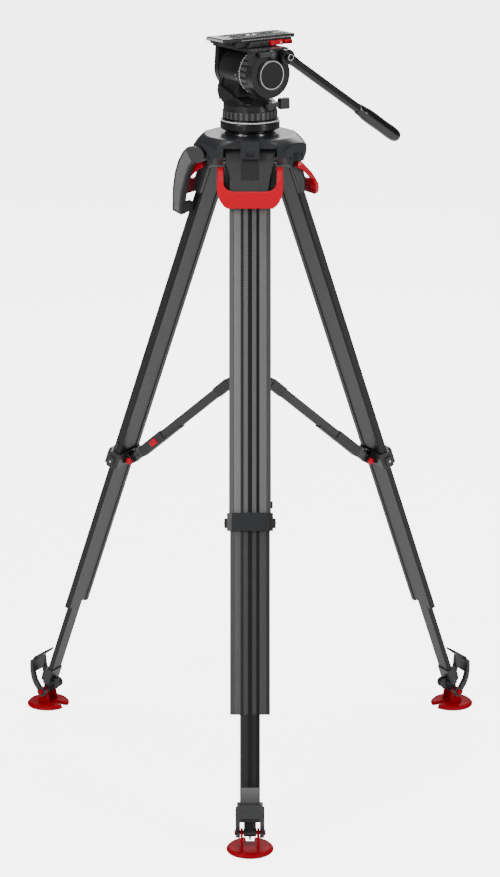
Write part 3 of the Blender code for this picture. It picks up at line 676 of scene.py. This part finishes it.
def ringLine(name, radius, width, height, local, matrix, finish, body, slot, sweep=360.0):
    curve = bpy.data.curves.new(name, "CURVE")
    curve.dimensions = "3D"
    line = curve.splines.new("POLY")
    whole = sweep >= 360.0
    count = 96 if whole else 48
    share = count if whole else count - 1
    line.points.add(count - 1)
    for i in range(count):
        turn = math.radians(sweep * i / share)
        line.points[i].co = (radius * math.cos(turn), radius * math.sin(turn), 0, 1)
    line.use_cyclic_u = whole
    obj = bpy.data.objects.new(name, curve)
    bpy.context.scene.collection.objects.link(obj)
    addTree(obj, "sweep", finish, Width=width, Height=height, Corner=min(width, height) * 0.3)
    bpy.context.view_layer.update()
    graph = bpy.context.evaluated_depsgraph_get()
    mesh = bpy.data.meshes.new_from_object(obj.evaluated_get(graph))
    bpy.data.objects.remove(obj, do_unlink=True)
    bpy.data.curves.remove(curve)
    made = bpy.data.objects.new(name, mesh)
    bpy.context.scene.collection.objects.link(made)
    outwards(made)
    mesh.transform(local)
    return place(made, matrix, finish, body, slot, bevel=0)


def outwards(obj):
    bm = bmesh.new()
    bm.from_mesh(obj.data)
    bmesh.ops.remove_doubles(bm, verts=bm.verts, dist=1e-7)
    bmesh.ops.recalc_face_normals(bm, faces=bm.faces)
    bm.to_mesh(obj.data)
    bm.free()
    return obj


def roundRow(name, bm, count, local, matrix, finish, body, slot, start=0.0, sweep=360.0,
             bevel=0.0):
    obj = objectFrom(bm, name)
    if bevel:
        bevelled(obj, bevel, 2, 30.0)
    grow(obj, "repeatRound", finish, Count=count, Start=math.radians(start),
         Sweep=math.radians(sweep))
    obj.data.transform(local)
    return place(obj, matrix, finish, body, slot, bevel=0)


def straightRow(name, bm, count, step, matrix, finish, body, slot):
    obj = objectFrom(bm, name)
    grow(obj, "repeatRow", finish, Count=count, Step=step)
    return place(obj, matrix, finish, body, slot, bevel=0)


def screwHead(name, point, direction, radius, height, matrix, finish, body, slot):
    profile = [(0, 0), (radius, 0), (radius, height * 0.7), (radius * 0.85, height), (0, height)]
    obj = objectFrom(lathe(bmesh.new(), profile, count=32), name)
    socket = prism(bmesh.new(), circle(radius * 0.5, 6), "Z", height * 0.35, height * 2)
    carve(obj, socket)
    obj.data.transform(aroundAxis(direction, point))
    return place(obj, matrix, finish, body, slot, bevel=0)


# Legs

shoulder = {
    "panel": (0.0265, 0.0300, 0.0030, (0, -0.0205)),  # width, height, corner, middle
    "inlay": (0.0253, 0.0288, 0.0026, (0, -0.0205)),
    "panelDepth": (0.0112, 0.0300), "inlayDepth": (0.0110, 0.0116),
    "flank": [(-0.0085, -0.0140), (0.0050, -0.0140), (0.0062, -0.0260), (0.0046, -0.0500),
              (0.0000, -0.0640), (-0.0085, -0.0640)],
    "flankSpan": (0.0303, 0.0383),
}
upperTube = {
    "pinSocket": 0.0019, "pinSpan": (0.0500, 0.0530),
    "stop": (-0.0331, -0.0302, -0.0035, 0.0015, -0.5115, -0.5010),
    "screw": (0.0372, -0.0010, -0.5330), "screwSize": (0.0019, 0.0006),
}


def buildUpperLeg(name, leg):
    body, title = "leg_" + name, name.title()
    recess = prism(bmesh.new(), roundedBox(*shoulder["panel"]), "Y", *shoulder["panelDepth"])
    refine("shoulder_" + name, leg, "greyPaint", "grey_cast", 0.0009, 3, cutters=[recess])
    inlay = prism(bmesh.new(), roundedBox(*shoulder["inlay"]), "Y", *shoulder["inlayDepth"])
    finished("shoulderPanel" + title, inlay, leg, "darkPanel", body, "grey_cast")
    for side in (-1, 1):
        flank = prism(bmesh.new(), shoulder["flank"], "X",
                      *sideSpan(side, *shoulder["flankSpan"]))
        finished("shoulderFlank" + title + sideName(side), flank, leg, "blackPlastic", body,
                 "grey_cast", bevel=0.0012, segments=3)
    refine("upper_tube_" + name, leg, "carbon", "carbon", 0.0007, 3)
    blackCast("collar_" + name, leg, 0.0008)
    refine("brake_lever_" + name, leg, "redPlastic", "red", 0.0019, 4, angle=40.0, smooth=60.0)
    sockets = [prism(bmesh.new(), circle(upperTube["pinSocket"], 6), "X",
                     *sideSpan(side, *upperTube["pinSpan"])) for side in (-1, 1)]
    refine("pivot_pin_" + name, leg, "darkSteel", "steel", 0.0003, cutters=sockets)
    stop = block(bmesh.new(), *upperTube["stop"])
    finished("tubeStop" + title, stop, leg, "blackPlastic", body, "carbon", bevel=0.0008)
    x, y, z = upperTube["screw"]
    for side in (-1, 1):
        screwHead("collarScrew" + title + sideName(side), (side * x, y, z), (side, 0, 0),
                  *upperTube["screwSize"], leg, "steel", body, "steel")


middleTube = {
    "notch": [(-0.0180, -0.8200), (0.0180, -0.8200), (0.0180, -0.8075), (0.0, -0.8020),
              (-0.0180, -0.8075)],
    "notchDepth": (-0.0200, -0.0036),
    "screws": ((0.0150, -0.7870), (-0.0160, -0.7480), (-0.0160, -0.7760), (-0.0160, -0.7960)),
    "screwFace": -0.0055, "screwSize": (0.0017, 0.0004),
}


def buildMiddleLeg(name, leg):
    notch = prism(bmesh.new(), middleTube["notch"], "Y", *middleTube["notchDepth"])
    # The middle and lower tubes take the darker copies of the weave: painted shade
    refine("middle_tube_" + name, leg, "carbonPaintedShade", "carbon", 0.0006, 3, cutters=[notch])
    refine("lower_tube_" + name, leg, "carbonDeepPaintedShade", "carbon", 0.0006, 3)
    for index, (x, z) in enumerate(middleTube["screws"]):
        screwHead("tubeScrew" + name.title() + str(index + 1), (x, middleTube["screwFace"], z),
                  (0, -1, 0), *middleTube["screwSize"], leg, "blackPlastic", "middle_" + name,
                  "steel")


# Heights of the pad run from the ankle's pin, and those of the boot and prongs from the leg's hinge
footPad = {
    "radius": 0.0338, "sole": 0.0013, "edge": 0.0008,
    "soleNotch": [(-0.0090, -0.0350), (0.0090, -0.0350), (0.0062, -0.0280), (0.0056, -0.0150),
                  (-0.0056, -0.0150), (-0.0062, -0.0280)],
    "bead": 0.0292, "beadHeight": 0.0060, "beadSize": (0.0013, 0.0012), "beadSweep": 312.0,
}
latch = {
    "cheek": [(0.0030, 0.0075), (0.0105, 0.0190), (0.0146, 0.0350), (0.0152, 0.0470),
              (0.0208, 0.0490), (0.0208, 0.0350), (0.0192, 0.0220), (0.0145, 0.0105),
              (0.0080, 0.0020)],
    "cheekSpan": (0.0180, 0.0208),
    "eyeHole": 0.0050, "eye": 0.0079, "eyeSpan": (0.0188, 0.0206),
}
footBoot = {
    "prong": [(-0.0100, -0.9560), (0.0056, -0.9560), (0.0056, -0.9700), (0.0020, -0.9730),
              (-0.0060, -0.9730)],
    "prongSpan": (0.0038, 0.0088),
    "tip": [(0.0, -0.9884), (0.0016, -0.9862), (0.0022, -0.9835), (0.0022, -0.9810),
            (0.0, -0.9810)],
    "boot": [(0.0100, -0.9380), (0.0132, -0.9500), (0.0118, -0.9610), (0.0058, -0.9625),
             (0.0058, -0.9380)],
    "bootHalf": 0.0118,
    "heel": (0, -0.0125, -0.9570), "heelRadius": 0.0075, "heelHalf": 0.0048, "ribs": 22,
}


def buildPad(name, ankle):
    body, title = "foot_" + name, name.title()
    radius = footPad["radius"]
    ground = footPivot * math.cos(math.radians(legAngle)) - hinge[1]
    top = ground + footPad["sole"]
    below = block(bmesh.new(), -0.05, 0.05, -0.05, 0.05, ground - 0.01, top)
    refine("foot_pad_" + name, ankle, "redPad", "red", 0.0006, 3, cutters=[below])
    profile = [(0, ground), (radius - footPad["edge"], ground),
               (radius, ground + footPad["edge"]), (radius, top), (0, top)]
    sole = objectFrom(lathe(bmesh.new(), profile, count=72), "footSole" + title)
    carve(sole, prism(bmesh.new(), footPad["soleNotch"], "Z", ground - 0.01, ground + 0.01))
    place(sole, ankle, "paleSole", body, "rubber", bevel=0)
    bead = (Matrix.Translation((0, 0, ground + footPad["beadHeight"]))
            @ Matrix.Rotation(math.radians(-66), 4, "Z"))
    ringLine("padBead" + title, footPad["bead"], *footPad["beadSize"], bead, ankle, "redPad",
             body, "red", sweep=footPad["beadSweep"])


def buildFoot(name, leg):
    lower, latchBody, title = "lower_" + name, "latch_" + name, name.title()
    ankle = (leg @ Matrix.Translation((0, 0, -footPivot))
             @ Matrix.Rotation(math.radians(-legAngle), 4, "X"))
    blackCast("foot_fork_" + name, leg, 0.0007)
    buildPad(name, ankle)
    blackCast("foot_latch_" + name, ankle, 0.0011)
    for side in (-1, 1):
        cheek = prism(bmesh.new(), latch["cheek"], "X", *sideSpan(side, *latch["cheekSpan"]))
        blackPiece("latchCheek" + title + sideName(side), cheek, ankle, latchBody,
                   bevel=0.0012, segments=3)
    for side in (-1, 1):
        near, far = sideSpan(side, *latch["eyeSpan"])
        eye = lathe(bmesh.new(), [(latch["eyeHole"], near), (latch["eye"], near),
                                  (latch["eye"], far), (latch["eyeHole"], far)], "X", count=40)
        blackPiece("latchEye" + title + sideName(side), eye, ankle, latchBody)
        prong = prism(bmesh.new(), footBoot["prong"], "X",
                      *sideSpan(side, *footBoot["prongSpan"]))
        blackPiece("footProng" + title + sideName(side), prong, leg, lower, bevel=0.0010)
    tip = lathe(bmesh.new(), footBoot["tip"], "Z", count=24)
    finished("footTip" + title, tip, leg, "steel", lower, "steel", bevel=0)
    half = footBoot["bootHalf"]
    boot = prism(bmesh.new(), footBoot["boot"], "X", -half, half)
    blackPiece("footBoot" + title, boot, leg, lower, bevel=0.0016, segments=3)
    radius, half = footBoot["heelRadius"], footBoot["heelHalf"]
    rib = block(bmesh.new(), radius - 0.0008, radius + 0.0005, -0.0005, 0.0005, -half, half)
    local = Matrix.Translation(footBoot["heel"]) @ Matrix.Rotation(math.radians(90), 4, "Y")
    roundRow("heelRibs" + title, rib, footBoot["ribs"], local, leg, "rubber", lower, "rubber")


arm = {
    "pivot": (0.0200, 0.5290),  # in from the leg's middle, and down from its hinge
    "hubRadius": 0.022, "hubHeight": 0.600,
    "window": (-0.02, 0.02, -0.0046, 0.02, 0.0740, 0.1220),
    "lock": (-0.0082, -0.0064, -0.0048, 0.0048, 0.0470, 0.0610),
    "root": (-0.0064, 0.0064, -0.0064, 0.0064, 0.0110, 0.0240),
    "rootEye": 0.0034, "rootEyeSpan": (-0.0100, -0.0056), "rootEyeHeight": 0.0165,
    "band": (-0.0071, 0.0071, -0.0087, 0.0087, 0.0700, 0.0725),
    "tip": (-0.0060, 0.0060, -0.0083, 0.0083, 0.1993, 0.2273),
}


def armMatrix(azimuth):
    inward, down = arm["pivot"]
    cos, sin = math.cos(math.radians(legAngle)), math.sin(math.radians(legAngle))
    out = hinge[0] - inward * cos + down * sin
    up = hinge[1] - inward * sin - down * cos
    lean = math.atan2(out - arm["hubRadius"], arm["hubHeight"] - up)
    return (rotated(azimuth) @ Matrix.Translation((0, out, up))
            @ Matrix.Rotation(lean, 4, "X"))


def buildArm(name, matrix):
    body, title = "arm_" + name, name.title()
    window = block(bmesh.new(), *arm["window"])
    refine("spreader_arm_" + name, matrix, "blackPlastic", "black_plastic", 0.0009, 3,
           cutters=[window])
    refine("spreader_slider_" + name, matrix, "castGrey", "cast_black", 0.0009, 3)
    refine("spreader_knob_" + name, matrix, "redPlastic", "red", 0.0008, 3)
    finished("armLock" + title, block(bmesh.new(), *arm["lock"]), matrix, "redPlastic", body,
             "red", bevel=0.0010, segments=3)
    eye = rod(bmesh.new(), "X", arm["rootEye"], *arm["rootEyeSpan"],
              (0.0, arm["rootEyeHeight"]), 24)
    root = carve(objectFrom(block(bmesh.new(), *arm["root"]), "armRoot" + title), eye)
    place(root, matrix, "greyPaint", body, "grey_cast", bevel=0.0008)
    blackPiece("armBand" + title, block(bmesh.new(), *arm["band"]), matrix, body)
    blackPiece("armTip" + title, block(bmesh.new(), *arm["tip"]), matrix, body,
               bevel=0.0009, segments=3)


for legName, legAzimuth in legAzimuths.items():
    legFrame = legMatrix(legAzimuth)
    buildUpperLeg(legName, legFrame)
    buildMiddleLeg(legName, legFrame)
    buildFoot(legName, legFrame)
    buildArm(legName, armMatrix(legAzimuth))
print("legs built")


# Crown, bowl and handle

handle = {
    "outer": [(0.0200, 0.0040), (0.0250, -0.0060), (0.0275, -0.0220), (0.0270, -0.0400),
              (0.0225, -0.0640), (0.0155, -0.0850), (0.0120, -0.0960)],
    "inner": [(-0.0040, -0.0960), (0.0010, -0.0830), (0.0050, -0.0620), (0.0065, -0.0400),
              (0.0060, -0.0220), (0.0020, -0.0125)],
    "inset": 0.0030,
    "near": (-0.0674, -0.0660), "far": (-0.0540, -0.0526),
}


def buildHandle(leg):
    refine("carry_handle", leg, "handleGrip", "rubber", 0.0024, 4)
    outline = list(reversed(handle["outer"] + handle["inner"]))
    panel = insetOutline(outline, handle["inset"])
    for side in ("near", "far"):
        finished("handlePanel" + side.title(), prism(bmesh.new(), panel, "X", *handle[side]),
                 leg, "handlePanel", "leg_left", "rubber", bevel=0.0003)


buildHandle(legMatrix(legAzimuths["left"]))
blackCast("spreader_hub", standMatrix, 0.0008)
refine("crown", standMatrix, "crownPaint", "cast_black", 0.0011, 3, angle=28.0)
refine("bowl_ring", standMatrix, "crownPaint", "cast_black", 0.0004)
print("crown built")


# Head

def acrossHead(y):
    return Matrix.Translation((0, y, tiltZ)) @ Matrix.Rotation(math.radians(-90), 4, "X")


def onHead(name, bm, finish, body, slot, **options):
    return finished(name, bm, headMatrix, finish, body, slot, **options)


panScale = {"inside": 0.0420, "radius": 0.0424, "low": 0.9935, "high": 0.9949,
            "marks": 72, "markTop": 0.9958, "tens": 12, "tenTop": 0.9964}
panDrag = {"bore": 0.0305, "core": 0.0392, "outer": 0.0405, "low": 0.9972, "high": 1.0094,
           "ribs": 30, "half": 0.0023}


def buildPanBase():
    refine("ball_base", headMatrix, "glossBlack", "cast_black", 0.0006, 3)
    radius, low, high = panScale["radius"], panScale["low"], panScale["high"]
    inside, proud = panScale["inside"], radius + 0.0003
    band = lathe(bmesh.new(), [(inside, low), (proud, low), (proud, high), (inside, high)])
    onHead("panScaleBand", band, "whiteMark", "level_base", "cast_black", bevel=0)
    mark = block(bmesh.new(), radius - 0.0004, radius + 0.0002, -0.0002, 0.0002, high,
                 panScale["markTop"])
    roundRow("panScaleMarks", mark, panScale["marks"], Matrix(), headMatrix, "whiteMark",
             "level_base", "cast_black")
    mark = block(bmesh.new(), radius, radius + 0.0005, -0.0003, 0.0003, low - 0.0004,
                 panScale["tenTop"])
    roundRow("panScaleTens", mark, panScale["tens"], Matrix(), headMatrix, "blackPlastic",
             "level_base", "cast_black")
    bore, radius, half = panDrag["bore"], panDrag["core"], panDrag["half"]
    low, high = panDrag["low"], panDrag["high"]
    core = lathe(bmesh.new(), [(bore, low), (radius, low), (radius, high), (bore, high)])
    onHead("panDragCore", core, "rubber", "pan_drag", "rubber", replaced=("pan_drag_ring",),
           bevel=0.0004)
    # The ribs take the lighter finish: a painted highlight on the ridges
    rib = block(bmesh.new(), radius - 0.0008, panDrag["outer"], -half, half, low + 0.0008,
                high - 0.0006)
    roundRow("panDragRibs", rib, panDrag["ribs"], Matrix(), headMatrix, "panRib", "pan_drag",
             "rubber", bevel=0.0006)


platform = {
    "side": [(-0.0240, 1.1036), (0.0130, 1.1036), (0.0130, 1.1108), (-0.0180, 1.1108)],
    "sideSpan": (-0.0300, -0.0208),
    "button": [(0, -0.0318), (0.0024, -0.0318), (0.0030, -0.0312), (0.0030, -0.0296),
               (0, -0.0296)],
    "buttonCentre": (0.0020, 1.1074),
}


def buildBody():
    soft = {"bevel": 0.0022, "segments": 4, "angle": 30.0, "smooth": 55.0}
    refine("pan_housing", headMatrix, "headPaint", "cast_black", **soft)
    blackCast("pan_brake_lever", headMatrix, 0.0012)
    refine("tilt_body", headMatrix, "headPaint", "cast_black", **soft)
    refine("platform", headMatrix, "headPaint", "cast_black", 0.0007, 3)
    blackCast("tilt_brake_lever", headMatrix, 0.0011)
    refine("clamp_disc", headMatrix, "steel", "steel", 0.0003)
    blackCast("tie_down_knob", headMatrix, 0.0009)
    side = prism(bmesh.new(), platform["side"], "Y", *platform["sideSpan"])
    onHead("platformSide", side, "headPaint", "tilt_unit", "cast_black", bevel=0.0010)
    button = lathe(bmesh.new(), platform["button"], "Y", platform["buttonCentre"], 32)
    onHead("platformButton", button, "glossBlack", "tilt_unit", "black_plastic", bevel=0)


tiltDrag = {"bore": 0.0087, "core": 0.0316, "outer": 0.0335, "near": -0.0373, "far": -0.0202,
            "blocks": 24, "half": 0.0026, "blockSpan": (0.0006, 0.0160)}
tiltScale = {"radius": 0.0319, "line": (0.0007, 0.0005), "lineAt": -0.0186,
             "mark": (0.0316, 0.0320, -0.0002, 0.0002, 0.0, 0.0020), "marks": 48,
             "marksAt": -0.0182}
barrelMark = {"mark": (0.0289, 0.0292, -0.0009, 0.0009, 0.0, 0.0005), "marks": 3,
              "at": -0.0040, "start": 150.0, "sweep": 36.0}


def buildTiltDrag():
    bore, radius, half = tiltDrag["bore"], tiltDrag["core"], tiltDrag["half"]
    near, far = tiltDrag["near"], tiltDrag["far"]
    core = lathe(bmesh.new(), [(bore, near), (radius, near), (radius, far), (bore, far)], "Y",
                 (0, tiltZ))
    onHead("tiltDragCore", core, "rubber", "tilt_drag", "rubber", replaced=("tilt_drag_ring",),
           bevel=0.0004)
    # The blocks take the same lighter finish: a painted highlight on the ridges
    tooth = block(bmesh.new(), radius - 0.0008, tiltDrag["outer"], -half, half,
                  *tiltDrag["blockSpan"])
    roundRow("tiltDragBlocks", tooth, tiltDrag["blocks"], acrossHead(near), headMatrix,
             "panRib", "tilt_drag", "rubber", bevel=0.0006)
    ringLine("tiltScaleLine", tiltScale["radius"], *tiltScale["line"],
             acrossHead(tiltScale["lineAt"]), headMatrix, "whiteMark", "pan_unit", "cast_black")
    roundRow("tiltScaleMarks", block(bmesh.new(), *tiltScale["mark"]), tiltScale["marks"],
             acrossHead(tiltScale["marksAt"]), headMatrix, "whiteMark", "pan_unit",
             "cast_black")
    roundRow("barrelMarks", block(bmesh.new(), *barrelMark["mark"]), barrelMark["marks"],
             acrossHead(barrelMark["at"]), headMatrix, "whiteMark", "pan_unit", "cast_black",
             start=barrelMark["start"], sweep=barrelMark["sweep"])


cap = {
    "profile": [(0, -0.0529), (0.0235, -0.0529), (0.0235, -0.0546), (0.0231, -0.0557),
                (0.0222, -0.0562), (0.0216, -0.0561), (0.0213, -0.0558), (0, -0.0558)],
    "face": -0.0558, "ring": 0.0203, "ringSize": (0.0008, 0.0005),
    "screw": (-0.0010, -0.0600, 1.0960), "screwSize": (0.0022, 0.0007),
}


def buildCap():
    body = lathe(bmesh.new(), cap["profile"], "Y", (0, tiltZ))
    onHead("sideCap", body, "headPaint", "tilt_unit", "black_plastic", replaced=("side_cap",),
           bevel=0)
    ringLine("capRing", cap["ring"], *cap["ringSize"], acrossHead(cap["face"]), headMatrix,
             "whiteMark", "tilt_unit", "black_plastic")
    screwHead("brakeScrew", cap["screw"], (0, -1, 0), *cap["screwSize"], headMatrix,
              "darkSteel", "tilt_brake", "steel")


cameraPlate = {
    "span": (-0.0620, 0.0640), "half": 0.0225, "chamfer": 0.0016,
    "under": 1.1122, "shoulder": 1.1163, "face": 1.1179, "top": 1.1185,
    "rail": (-0.0600, 0.0620, -0.0156, 0.0156, 1.1090, 1.1130),
    "slot": (0.0780, 0.0080, 0.0038, (0.0030, 0.0)), "slotFloor": 1.1166,
    "pad": (0.1000, 0.0120, 0.0015), "padX": 0.0060, "padY": 0.0122, "padDepth": (1.1174, 1.11825),
    "rib": (-0.0430, -0.0421), "ribHalf": 0.0052, "ribs": 62, "ribStep": 0.0016,
    "toothSpan": (0.0221, 0.0227), "tooth": (-0.0300, -0.0288), "toothHeight": (1.1130, 1.1146),
    "teeth": 34, "toothStep": 0.0026,
    "stripes": (-0.0600, -0.0555), "stripeHalf": 0.0012, "stripeSpan": (0.0008, 0.0205),
    "stripeHeight": (1.1176, 1.1183),
    "screws": (-0.0040, 0.0070), "screwSize": (0.0036, 0.0017),
    "nose": (-0.0622, -0.0610, -0.0205, 0.0205, 1.1135, 1.1166),
}


def buildCameraPlate():
    plate = cameraPlate
    half, inner = plate["half"], plate["half"] - plate["chamfer"]
    section = [(-half, plate["under"]), (half, plate["under"]), (half, plate["shoulder"]),
               (inner, plate["face"]), (-inner, plate["face"]), (-half, plate["shoulder"])]
    slab = objectFrom(prism(bmesh.new(), section, "X", *plate["span"]), "cameraPlate")
    carve(slab, block(bmesh.new(), *plate["rail"]), "UNION")
    carve(slab, prism(bmesh.new(), roundedBox(*plate["slot"]), "Z", plate["slotFloor"], 1.13))
    place(slab, headMatrix, "headPaint", "plate", "cast_black", ("camera_plate",), bevel=0.0004)
    for side in (-1, 1):
        label = sideName(-side)
        middle = side * plate["padY"]
        pad = roundedBox(*plate["pad"], (plate["padX"], middle))
        onHead("platePad" + label, prism(bmesh.new(), pad, "Z", *plate["padDepth"]), "rubber",
               "plate", "rubber", bevel=0.0002)
        rib = block(bmesh.new(), *plate["rib"], middle - plate["ribHalf"],
                    middle + plate["ribHalf"], 1.1180, plate["top"])
        straightRow("plateRibs" + label, rib, plate["ribs"], (plate["ribStep"], 0, 0),
                    headMatrix, "rubber", "plate", "rubber")
        # The teeth are pale: painted glints on black teeth
        tooth = block(bmesh.new(), *plate["tooth"], *sideSpan(side, *plate["toothSpan"]),
                      *plate["toothHeight"])
        straightRow("plateTeethPaintedGlint" + label, tooth, plate["teeth"], (plate["toothStep"], 0, 0),
                    headMatrix, "paleEdge", "plate", "steel")
        for index, x in enumerate(plate["stripes"]):
            stripe = block(bmesh.new(), x - plate["stripeHalf"], x + plate["stripeHalf"],
                           *sideSpan(side, *plate["stripeSpan"]), *plate["stripeHeight"])
            onHead("plateStripe" + label + str(index + 1), stripe, "paleEdge", "plate", "steel",
                   bevel=0.0002)
    for index, x in enumerate(plate["screws"]):
        screwHead("plateScrew" + str(index + 1), (x, 0, plate["slotFloor"]), (0, 0, 1),
                  *plate["screwSize"], headMatrix, "steel", "plate", "steel")
    onHead("plateNose", block(bmesh.new(), *plate["nose"]), "paleEdge", "plate", "steel",
           bevel=0.0002)


plateLock = {"screw": (0.0345, -0.0296, 1.1072), "screwSize": (0.0020, 0.0008),
             "rib": (0.0440, 0.0446, -0.0304, -0.0296, 1.1050, 1.1092), "ribs": 7,
             "ribStep": 0.0015}


def buildPlateLock():
    refine("plate_lock_lever", headMatrix, "redPlastic", "red", 0.0008, 3)
    refine("plate_button", headMatrix, "redPlastic", "red", 0.0008, 3)
    screwHead("lockScrew", plateLock["screw"], (0, -1, 0), *plateLock["screwSize"], headMatrix,
              "steel", "plate_lock", "steel")
    straightRow("buttonRibs", block(bmesh.new(), *plateLock["rib"]), plateLock["ribs"],
                (plateLock["ribStep"], 0, 0), headMatrix, "redPad", "plate_release", "red")


panBar = {
    "centre": (0.0241, -0.0585, 1.0909), "angle": 34.1, "radius": 0.0070,
    "eye": [(0, -0.0055), (0.0098, -0.0055), (0.0110, -0.0045), (0.0110, 0.0045),
            (0.0098, 0.0055), (0, 0.0055)],
    "neck": [(0.0, -0.0072), (0.0160, -0.0066), (0.0240, -0.0056), (0.0240, 0.0056),
             (0.0160, 0.0066), (0.0, 0.0072)],
    "neckHalf": 0.0042,
    "gripAt": 0.1555,
    "grip": [(0, 0), (0.0070, 0), (0.0075, 0.0005), (0.0084, 0.0040), (0.0087, 0.0105),
             (0.0090, 0.0120), (0.0100, 0.0180), (0.0103, 0.0300), (0.0101, 0.0450),
             (0.0099, 0.0600), (0.0103, 0.0740), (0.0100, 0.0825), (0.0088, 0.0885),
             (0.0066, 0.0918), (0.0035, 0.0929), (0, 0.0930)],
    "knob": [(0, -0.0104), (0.0050, -0.0104), (0.0060, -0.0096), (0.0060, -0.0059),
             (0, -0.0059)],
    "knobSocket": 0.0026, "rim": 0.0043, "rimSize": (0.0010, 0.0004), "rimAt": -0.0103,
}


def buildPanBar():
    down = (headMatrix @ Matrix.Translation(panBar["centre"])
            @ Matrix.Rotation(math.radians(panBar["angle"]), 4, "Y"))
    bar = objectFrom(lathe(bmesh.new(), panBar["eye"], "Y"), "panBar")
    turns = [math.radians(22.5 + 45 * i) for i in range(8)]
    octagon = [(panBar["radius"] * math.cos(t), panBar["radius"] * math.sin(t)) for t in turns]
    carve(bar, prism(bmesh.new(), octagon, "X", 0.0060, panBar["gripAt"] - 0.0003), "UNION")
    half = panBar["neckHalf"]
    carve(bar, prism(bmesh.new(), panBar["neck"], "Y", -half, half), "UNION")
    place(bar, down, "glossBlack", "bar", "cast_black", ("pan_bar",), bevel=0.0006, segments=3)
    grip = lathe(bmesh.new(), panBar["grip"], "X", count=64)
    grip.transform(Matrix.Translation((panBar["gripAt"], 0, 0)))
    finished("panBarGrip", grip, down, "smoothRubber", "bar", "rubber",
             replaced=("pan_bar_grip",), bevel=0, smooth=50.0)
    knob = objectFrom(lathe(bmesh.new(), panBar["knob"], "Y", count=48), "panBarKnob")
    carve(knob, prism(bmesh.new(), circle(panBar["knobSocket"], 6), "Y", -0.02, -0.0080))
    place(knob, down, "smoothRubber", "bar_knob", "steel", ("pan_bar_knob",), bevel=0)
    rim = (Matrix.Translation((0, panBar["rimAt"], 0))
           @ Matrix.Rotation(math.radians(-90), 4, "X"))
    ringLine("panBarKnobRim", panBar["rim"], *panBar["rimSize"], rim, down, "palePlate",
             "bar_knob", "steel")


buildPanBase()
buildBody()
buildTiltDrag()
buildCap()
buildCameraPlate()
buildPlateLock()
buildPanBar()
print("head built")


# Stage

# Only the camera sees the floor's and the room's extra light
def buildStage():
    floor = {"half": 16.0, "colour": (0.93, 0.93, 0.93, 1), "lift": (4.6, 4.6, 4.6, 1)}
    bm = bmesh.new()
    half = floor["half"]
    corners = ((-half, -half), (half, -half), (half, half), (-half, half))
    bm.faces.new([bm.verts.new((x, y, 0.0)) for x, y in corners])
    obj = objectFrom(bm, "studioFloor")
    made, tree, shader = newMaterial("paleFloor")
    shader.inputs["Base Color"].default_value = floor["colour"]
    shader.inputs["Roughness"].default_value = 0.7
    seen = tree.nodes.new("ShaderNodeLightPath").outputs["Is Camera Ray"]
    glow = blendColour(tree, seen, (0.0, 0.0, 0.0, 1), floor["lift"])
    tree.links.new(glow, shader.inputs["Emission Color"])
    shader.inputs["Emission Strength"].default_value = 1.0
    obj.data.materials.append(made)


def buildWorld():
    room = {"seen": 5.2, "lighting": 0.10}
    world = bpy.data.worlds.new("studio")
    world.use_nodes = True
    tree = world.node_tree
    background = tree.nodes["Background"]
    background.inputs["Color"].default_value = (1, 1, 1, 1)
    seen = tree.nodes.new("ShaderNodeLightPath").outputs["Is Camera Ray"]
    extra = calc(tree, "MULTIPLY", seen, room["seen"] - room["lighting"])
    strength = calc(tree, "ADD", extra, room["lighting"])
    tree.links.new(strength, background.inputs["Strength"])
    bpy.context.scene.world = world


def addLight(name, position, target, size, power):
    data = bpy.data.lights.new(name, "AREA")
    data.shape = "RECTANGLE"
    data.size, data.size_y = size
    data.energy = power
    obj = bpy.data.objects.new(name, data)
    obj.location = position
    obj.rotation_euler = (Vector(target) - Vector(position)).to_track_quat("-Z", "Y").to_euler()
    bpy.context.scene.collection.objects.link(obj)


buildStage()
buildWorld()
addLight("keyLight", (-2.4, -2.2, 2.4), (0, 0.1, 0.7), (0.9, 2.4), 95)
addLight("fillLight", (2.7, -1.8, 1.8), (0, 0.1, 0.6), (0.7, 2.4), 75)
addLight("stripLight", (-1.1, -2.6, 1.5), (0, 0.1, 1.0), (0.25, 1.6), 16)
addLight("topLight", (0.0, 0.3, 3.2), (0, 0.1, 0.8), (2.0, 1.2), 60)
addLight("backLight", (0.6, 3.0, 2.4), (0, 0.1, 0.7), (2.4, 1.6), 55)

shot = {"sensor": 36, "lens": 115.35, "position": (0, -4.001, 1.693), "pitch": 73.83}
view = bpy.data.cameras.new("studioCamera")
view.sensor_width = shot["sensor"]
view.lens = shot["lens"]
camera = bpy.data.objects.new("studioCamera", view)
camera.location = shot["position"]
camera.rotation_euler = (math.radians(shot["pitch"]), 0, 0)
bpy.context.scene.collection.objects.link(camera)
bpy.context.scene.camera = camera
print("stage built")
